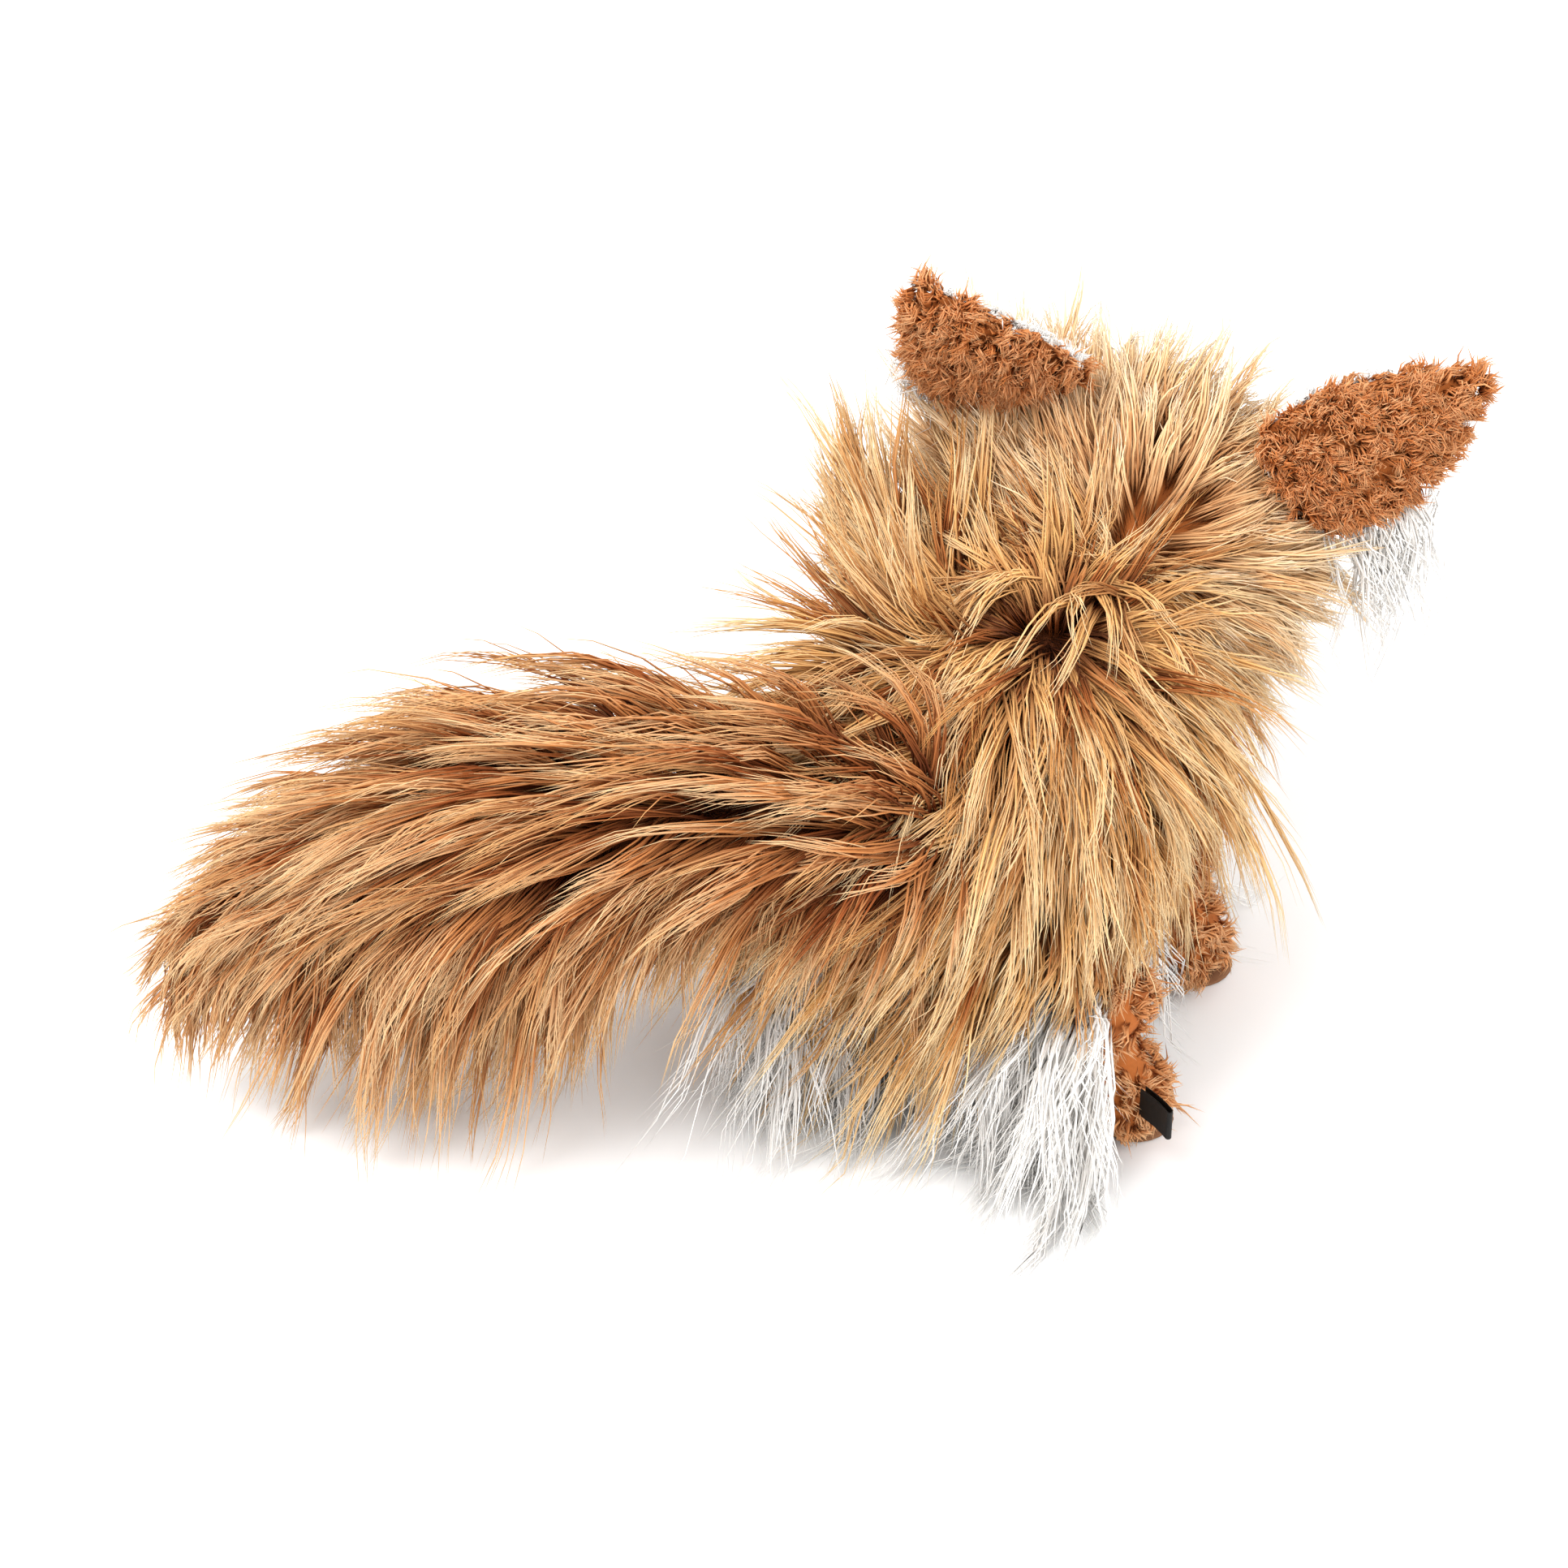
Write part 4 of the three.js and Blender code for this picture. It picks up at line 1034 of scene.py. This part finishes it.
class DOG_OT_legs(bpy.types.Operator):
    """Makes four legs with short pile and pads, and white feathering behind the hind ones."""

    bl_idname = "dog.legs"
    bl_label = "Legs"

    def execute(self, context):
        sizes, rng = ready(context, 53)
        for name in LEGS:
            body = f"{name}_leg"
            sideways = -1.0 if "left" in name else 1.0
            nodes = (f"{name}_leg_cover", f"{name}_leg_stuffing")
            grid = leg_grid(pivot(f"{name}_leg_swing"), sideways)
            skin_piece(f"{name}_leg_skin", grid, "rust skin", body, nodes)
            low, high = (np.array(corner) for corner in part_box(f"{name}_paw_pad"))
            pad = egg_grid((low + high) / 2, (high - low) / 2, np.eye(3), rows=9, columns=24)
            skin_piece(f"{name}_pad", pad, "pad cloth", body, (f"{name}_paw_pad",))

            roots, normals = scatter(grid, LEG_LOCKS, rng)
            hairs = short_locks(roots, normals, DOWN * 0.9, sizes.short_pile * 0.75, LEG_LOCK, rng)
            tone = hair_tones(rng.normal(0.85, 0.16, len(roots)), LEG_LOCK, rng, spread=0.14)
            coat_piece(f"{name}_leg_coat", hairs, LEG_HAIR, tone, "short coat", body, rng)
            if "hind" in name:
                behind = (normals[:, 1] < -0.25) & (normals[:, 0] * sideways < 0.3) & (roots[:, 2] > 0.012)
                make_feathers(name, roots[behind], normals[behind], sideways, sizes, rng)
        return {"FINISHED"}


def plume(sizes, rng, roots, normals, lengths):
    """Locks that stand off the tail, run along it above and hang from it below, with their tones."""

    def wish(points):
        share = tail_share(points, sizes)
        height = points[:, 2] - tail_path(sizes, share)[:, 2]
        under = np.clip(0.5 - height / 0.035, 0.0, 1.0)[:, None]
        ahead = unit(tail_path(sizes, share + 0.04) - tail_path(sizes, share))
        return ahead * (0.9 - 0.5 * under) + DOWN * 1.2 * under

    count = len(roots)
    ruffle = rng.normal(0.0, 0.16, (count, 3))
    lengths = lengths * rng.uniform(0.55, 1.12, count)
    share = tail_share(roots, sizes)
    clear = np.interp(share, *PLUME_CLEAR) * np.interp(normals[:, 2], *PLUME_CLEAR_UP)
    clear = clear * rng.uniform(0.3, 1.05, count)
    lift = np.interp(normals[:, 2], *PLUME_LIFT_UP) * np.interp(share, *PLUME_LIFT)
    lift = (lift * np.interp(normals @ -LIFT, *PLUME_LIFT_ASIDE))[:, None]
    flow = combed(wish, outward_share=0.0)
    guides = grow(roots, normals, flow, lengths, sizes, ruffle, lift, droop=0.7, stiff=0.66, clear=clear)
    hairs = locked(guides, normals, BACK_LOCK, rng)
    return hairs, hair_tones(lock_tones(count, rng) - 0.1, BACK_LOCK, rng)


class DOG_OT_tail(bpy.types.Operator):
    """Makes the tail's skin and its long hanging plume."""

    bl_idname = "dog.tail"
    bl_label = "Tail"

    def execute(self, context):
        sizes, rng = ready(context, 71)
        look, slot = "tail coat", "long_fur_brown"
        grid = tail_grid(sizes)
        skin_piece("tail_skin", grid, "skin", "tail", ("tail_cover", "tail_stuffing"))
        roots, normals = scatter(grid, TAIL_LOCKS, rng)
        share = tail_share(roots, sizes)
        size = np.interp(share, *PLUME_PILE)
        size = size * np.where(normals[:, 2] < -0.1, np.interp(share, *PLUME_PILE_BELOW), 1.0)
        hairs, tone = plume(sizes, rng, roots, normals, sizes.tail_pile * size)
        coat_in_parts("tail_coat", 3, hairs, sizes.hair, tone, look, "tail", rng)

        seat = egg_grid(TAIL, np.full(3, SEAT_RADIUS), np.eye(3), rows=14, columns=24)
        skin_piece("tail_root_skin", seat, "skin", "tail_root", ("tail_seat",))
        roots, normals = scatter(seat, SEAT_LOCKS, rng)
        hairs, tone = plume(sizes, rng, roots, normals, np.full(SEAT_LOCKS, sizes.tail_pile * 0.8))
        coat_piece("tail_root_coat", hairs, sizes.hair, tone, look, "tail_root", rng)
        return {"FINISHED"}


def make_label(tints):
    """A ribbon folded end to end: out along one layer, round the fold and back along the other."""
    # How far it stands out, its width, half its fold and half its cloth, and its bow
    reach, tall, fold, half_thick, bow = 0.0135, 0.011, 0.0009, 0.00016, 0.0012
    root = pivot("label_flap")
    low, high = (np.array(corner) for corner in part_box("side_label"))
    middle = (low + high) / 2.0
    out = unit((middle - root) * np.array((1.0, 1.0, 0.0)))
    side = np.cross(-DOWN, out)
    turn = np.linspace(-math.pi / 2, math.pi / 2, 9)[1:-1]
    end = reach - fold
    straight = np.linspace(0.0, end, 10)
    layer = np.full(10, fold)
    x = np.concatenate((straight, end + fold * np.cos(turn), straight[::-1]))
    y = np.concatenate((-layer, fold * np.sin(turn), layer))
    y = y + bow * np.sin(x / reach * 2.2)
    line = np.stack((x, y), axis=-1)
    along = unit(np.gradient(line, axis=0))
    square = np.stack((-along[:, 1], along[:, 0]), axis=-1) * half_thick
    loop = np.concatenate((line + square, (line - square)[::-1]))
    base = np.array((root[0], root[1], middle[2]))
    flat = base + (loop[:, :1] * out + loop[:, 1:] * side)
    points = np.concatenate([flat + DOWN * drop for drop in (tall / 2.0, -tall / 2.0)])

    count = len(loop)
    ring = np.arange(count)
    right = np.roll(ring, -1)
    wall = np.stack((ring, right, right + count, ring + count), axis=-1)
    front = np.arange(count // 2 - 1)
    back = count - 1 - front
    cap = np.stack((front, back, back - 1, front + 1), axis=-1)
    faces = np.concatenate((wall, cap, (cap + count)[:, ::-1]))
    mesh = bpy.data.meshes.new("label_ribbon")
    mesh.from_pydata(points.tolist(), [], faces.tolist())
    mesh.materials.append(cloth_look("label satin", tints.label, scale=2400.0, depth=0.3, roughness=0.5))
    mesh.update()
    piece = object_of("label_ribbon", mesh)
    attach(piece, "label")
    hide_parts("side_label")


class DOG_OT_trim(bpy.types.Operator):
    """Makes the folded label and gives eyes, nose and washers their plastics."""

    bl_idname = "dog.trim"
    bl_label = "Label and buttons"

    def execute(self, context):
        tints = context.scene.dog_colours
        gloss = plain_look("button plastic", tints.button, roughness=0.12, specular=0.5)
        dull = plain_look("washer plastic", WASHER, roughness=0.5)
        for name, node in frame["nodes"].items():
            if name in BUTTON_GAPS or name.endswith("_washer"):
                node.data.materials.clear()
                node.data.materials.append(gloss if name in BUTTON_GAPS else dull)
        make_label(tints)
        return {"FINISHED"}


def make_floor():
    """A flat white square."""
    far, white = 4.0, 0.94
    mesh = bpy.data.meshes.new("floor")
    corners = [(-far, -far, 0), (far, -far, 0), (far, far, 0), (-far, far, 0)]
    mesh.from_pydata(corners, [], [(0, 1, 2, 3)])
    mesh.materials.append(plain_look("floor white", (white,) * 3, roughness=1.0, specular=0.0))
    object_of("floor", mesh)


def make_surround(scene):
    """Soft light all round, which camera, glossy and transmission rays see as white."""
    world = bpy.data.worlds.new("surround")
    scene.world = world
    world.use_nodes = True
    nodes, links = world.node_tree.nodes, world.node_tree.links
    soft = nodes["Background"]
    soft.inputs["Color"].default_value = (1.0, 1.0, 1.0, 1.0)
    soft.inputs["Strength"].default_value = 0.86
    seen = nodes.new("ShaderNodeBackground")
    seen.inputs["Color"].default_value = (1.0, 1.0, 1.0, 1.0)
    ray = nodes.new("ShaderNodeLightPath")
    mix = nodes.new("ShaderNodeMixShader")
    seen_by = ray.outputs["Is Camera Ray"]
    for kind in ("Is Glossy Ray", "Is Transmission Ray"):
        either = nodes.new("ShaderNodeMath")
        either.operation = "MAXIMUM"
        links.new(seen_by, either.inputs[0])
        links.new(ray.outputs[kind], either.inputs[1])
        seen_by = either.outputs[0]
    links.new(seen_by, mix.inputs["Fac"])
    links.new(soft.outputs[0], mix.inputs[1])
    links.new(seen.outputs[0], mix.inputs[2])
    links.new(mix.outputs[0], nodes["World Output"].inputs["Surface"])


def aim(thing, place, target):
    """Puts an object at a place and turns its -Z to a target, with its +Y up."""
    ahead = unit(target - place)
    rise = math.acos(float(np.clip(-ahead[2], -1.0, 1.0)))
    thing.location = place
    thing.rotation_euler = (rise, 0.0, math.atan2(-ahead[0], ahead[1]))


class DOG_OT_stage(bpy.types.Operator):
    """Sets the white floor, the soft lights, the white surround and the camera of the photograph."""

    bl_idname = "dog.stage"
    bl_label = "Stage"

    def execute(self, context):
        scene = context.scene
        make_floor()
        make_surround(scene)
        for name, place, size, power in LAMPS:
            lamp = bpy.data.lights.new(name, "AREA")
            lamp.size, lamp.energy = size, power
            aim(object_of(name, lamp), np.array(place), LAMPS_FACE)

        azimuth, rise = math.radians(CAMERA_AZIMUTH), math.radians(CAMERA_RISE)
        level = np.array((-math.sin(azimuth), math.cos(azimuth), 0.0)) * math.cos(rise)
        ahead = level + DOWN * math.sin(rise)
        lens = bpy.data.cameras.new("camera")
        lens.lens, lens.sensor_width = 119.0, 36.0
        scene.camera = object_of("camera", lens)
        aim(scene.camera, CAMERA_TARGET - ahead * CAMERA_DISTANCE, CAMERA_TARGET)
        scene.view_settings.view_transform = "Standard"
        return {"FINISHED"}


class DOG_PT_panel(bpy.types.Panel):
    """Lists the sizes, the colours and the steps."""

    bl_idname = "DOG_PT_panel"
    bl_label = "Plush dog"
    bl_space_type = "VIEW_3D"
    bl_region_type = "UI"
    bl_category = "Plush dog"

    def draw(self, context):
        for group in (context.scene.dog_sizes, context.scene.dog_colours):
            box = self.layout.box()
            for name in group.bl_rna.properties.keys()[2:]:
                box.prop(group, name)
        for operator in OPERATORS:
            self.layout.operator(operator.bl_idname)


OPERATORS = (DOG_OT_trunk, DOG_OT_head, DOG_OT_ears, DOG_OT_legs, DOG_OT_tail, DOG_OT_trim, DOG_OT_stage)
CLASSES = (DogSizes, DogColours, *OPERATORS, DOG_PT_panel)


def register():
    for cls in CLASSES:
        bpy.utils.register_class(cls)
    bpy.types.Scene.dog_sizes = bpy.props.PointerProperty(type=DogSizes)
    bpy.types.Scene.dog_colours = bpy.props.PointerProperty(type=DogColours)


def unregister():
    del bpy.types.Scene.dog_colours
    del bpy.types.Scene.dog_sizes
    for cls in reversed(CLASSES):
        bpy.utils.unregister_class(cls)


def main():
    register()
    bpy.ops.dog.trunk()
    bpy.ops.dog.head()
    bpy.ops.dog.ears()
    bpy.ops.dog.legs()
    bpy.ops.dog.tail()
    bpy.ops.dog.trim()
    bpy.ops.dog.stage()


if __name__ == "__main__":
    main()
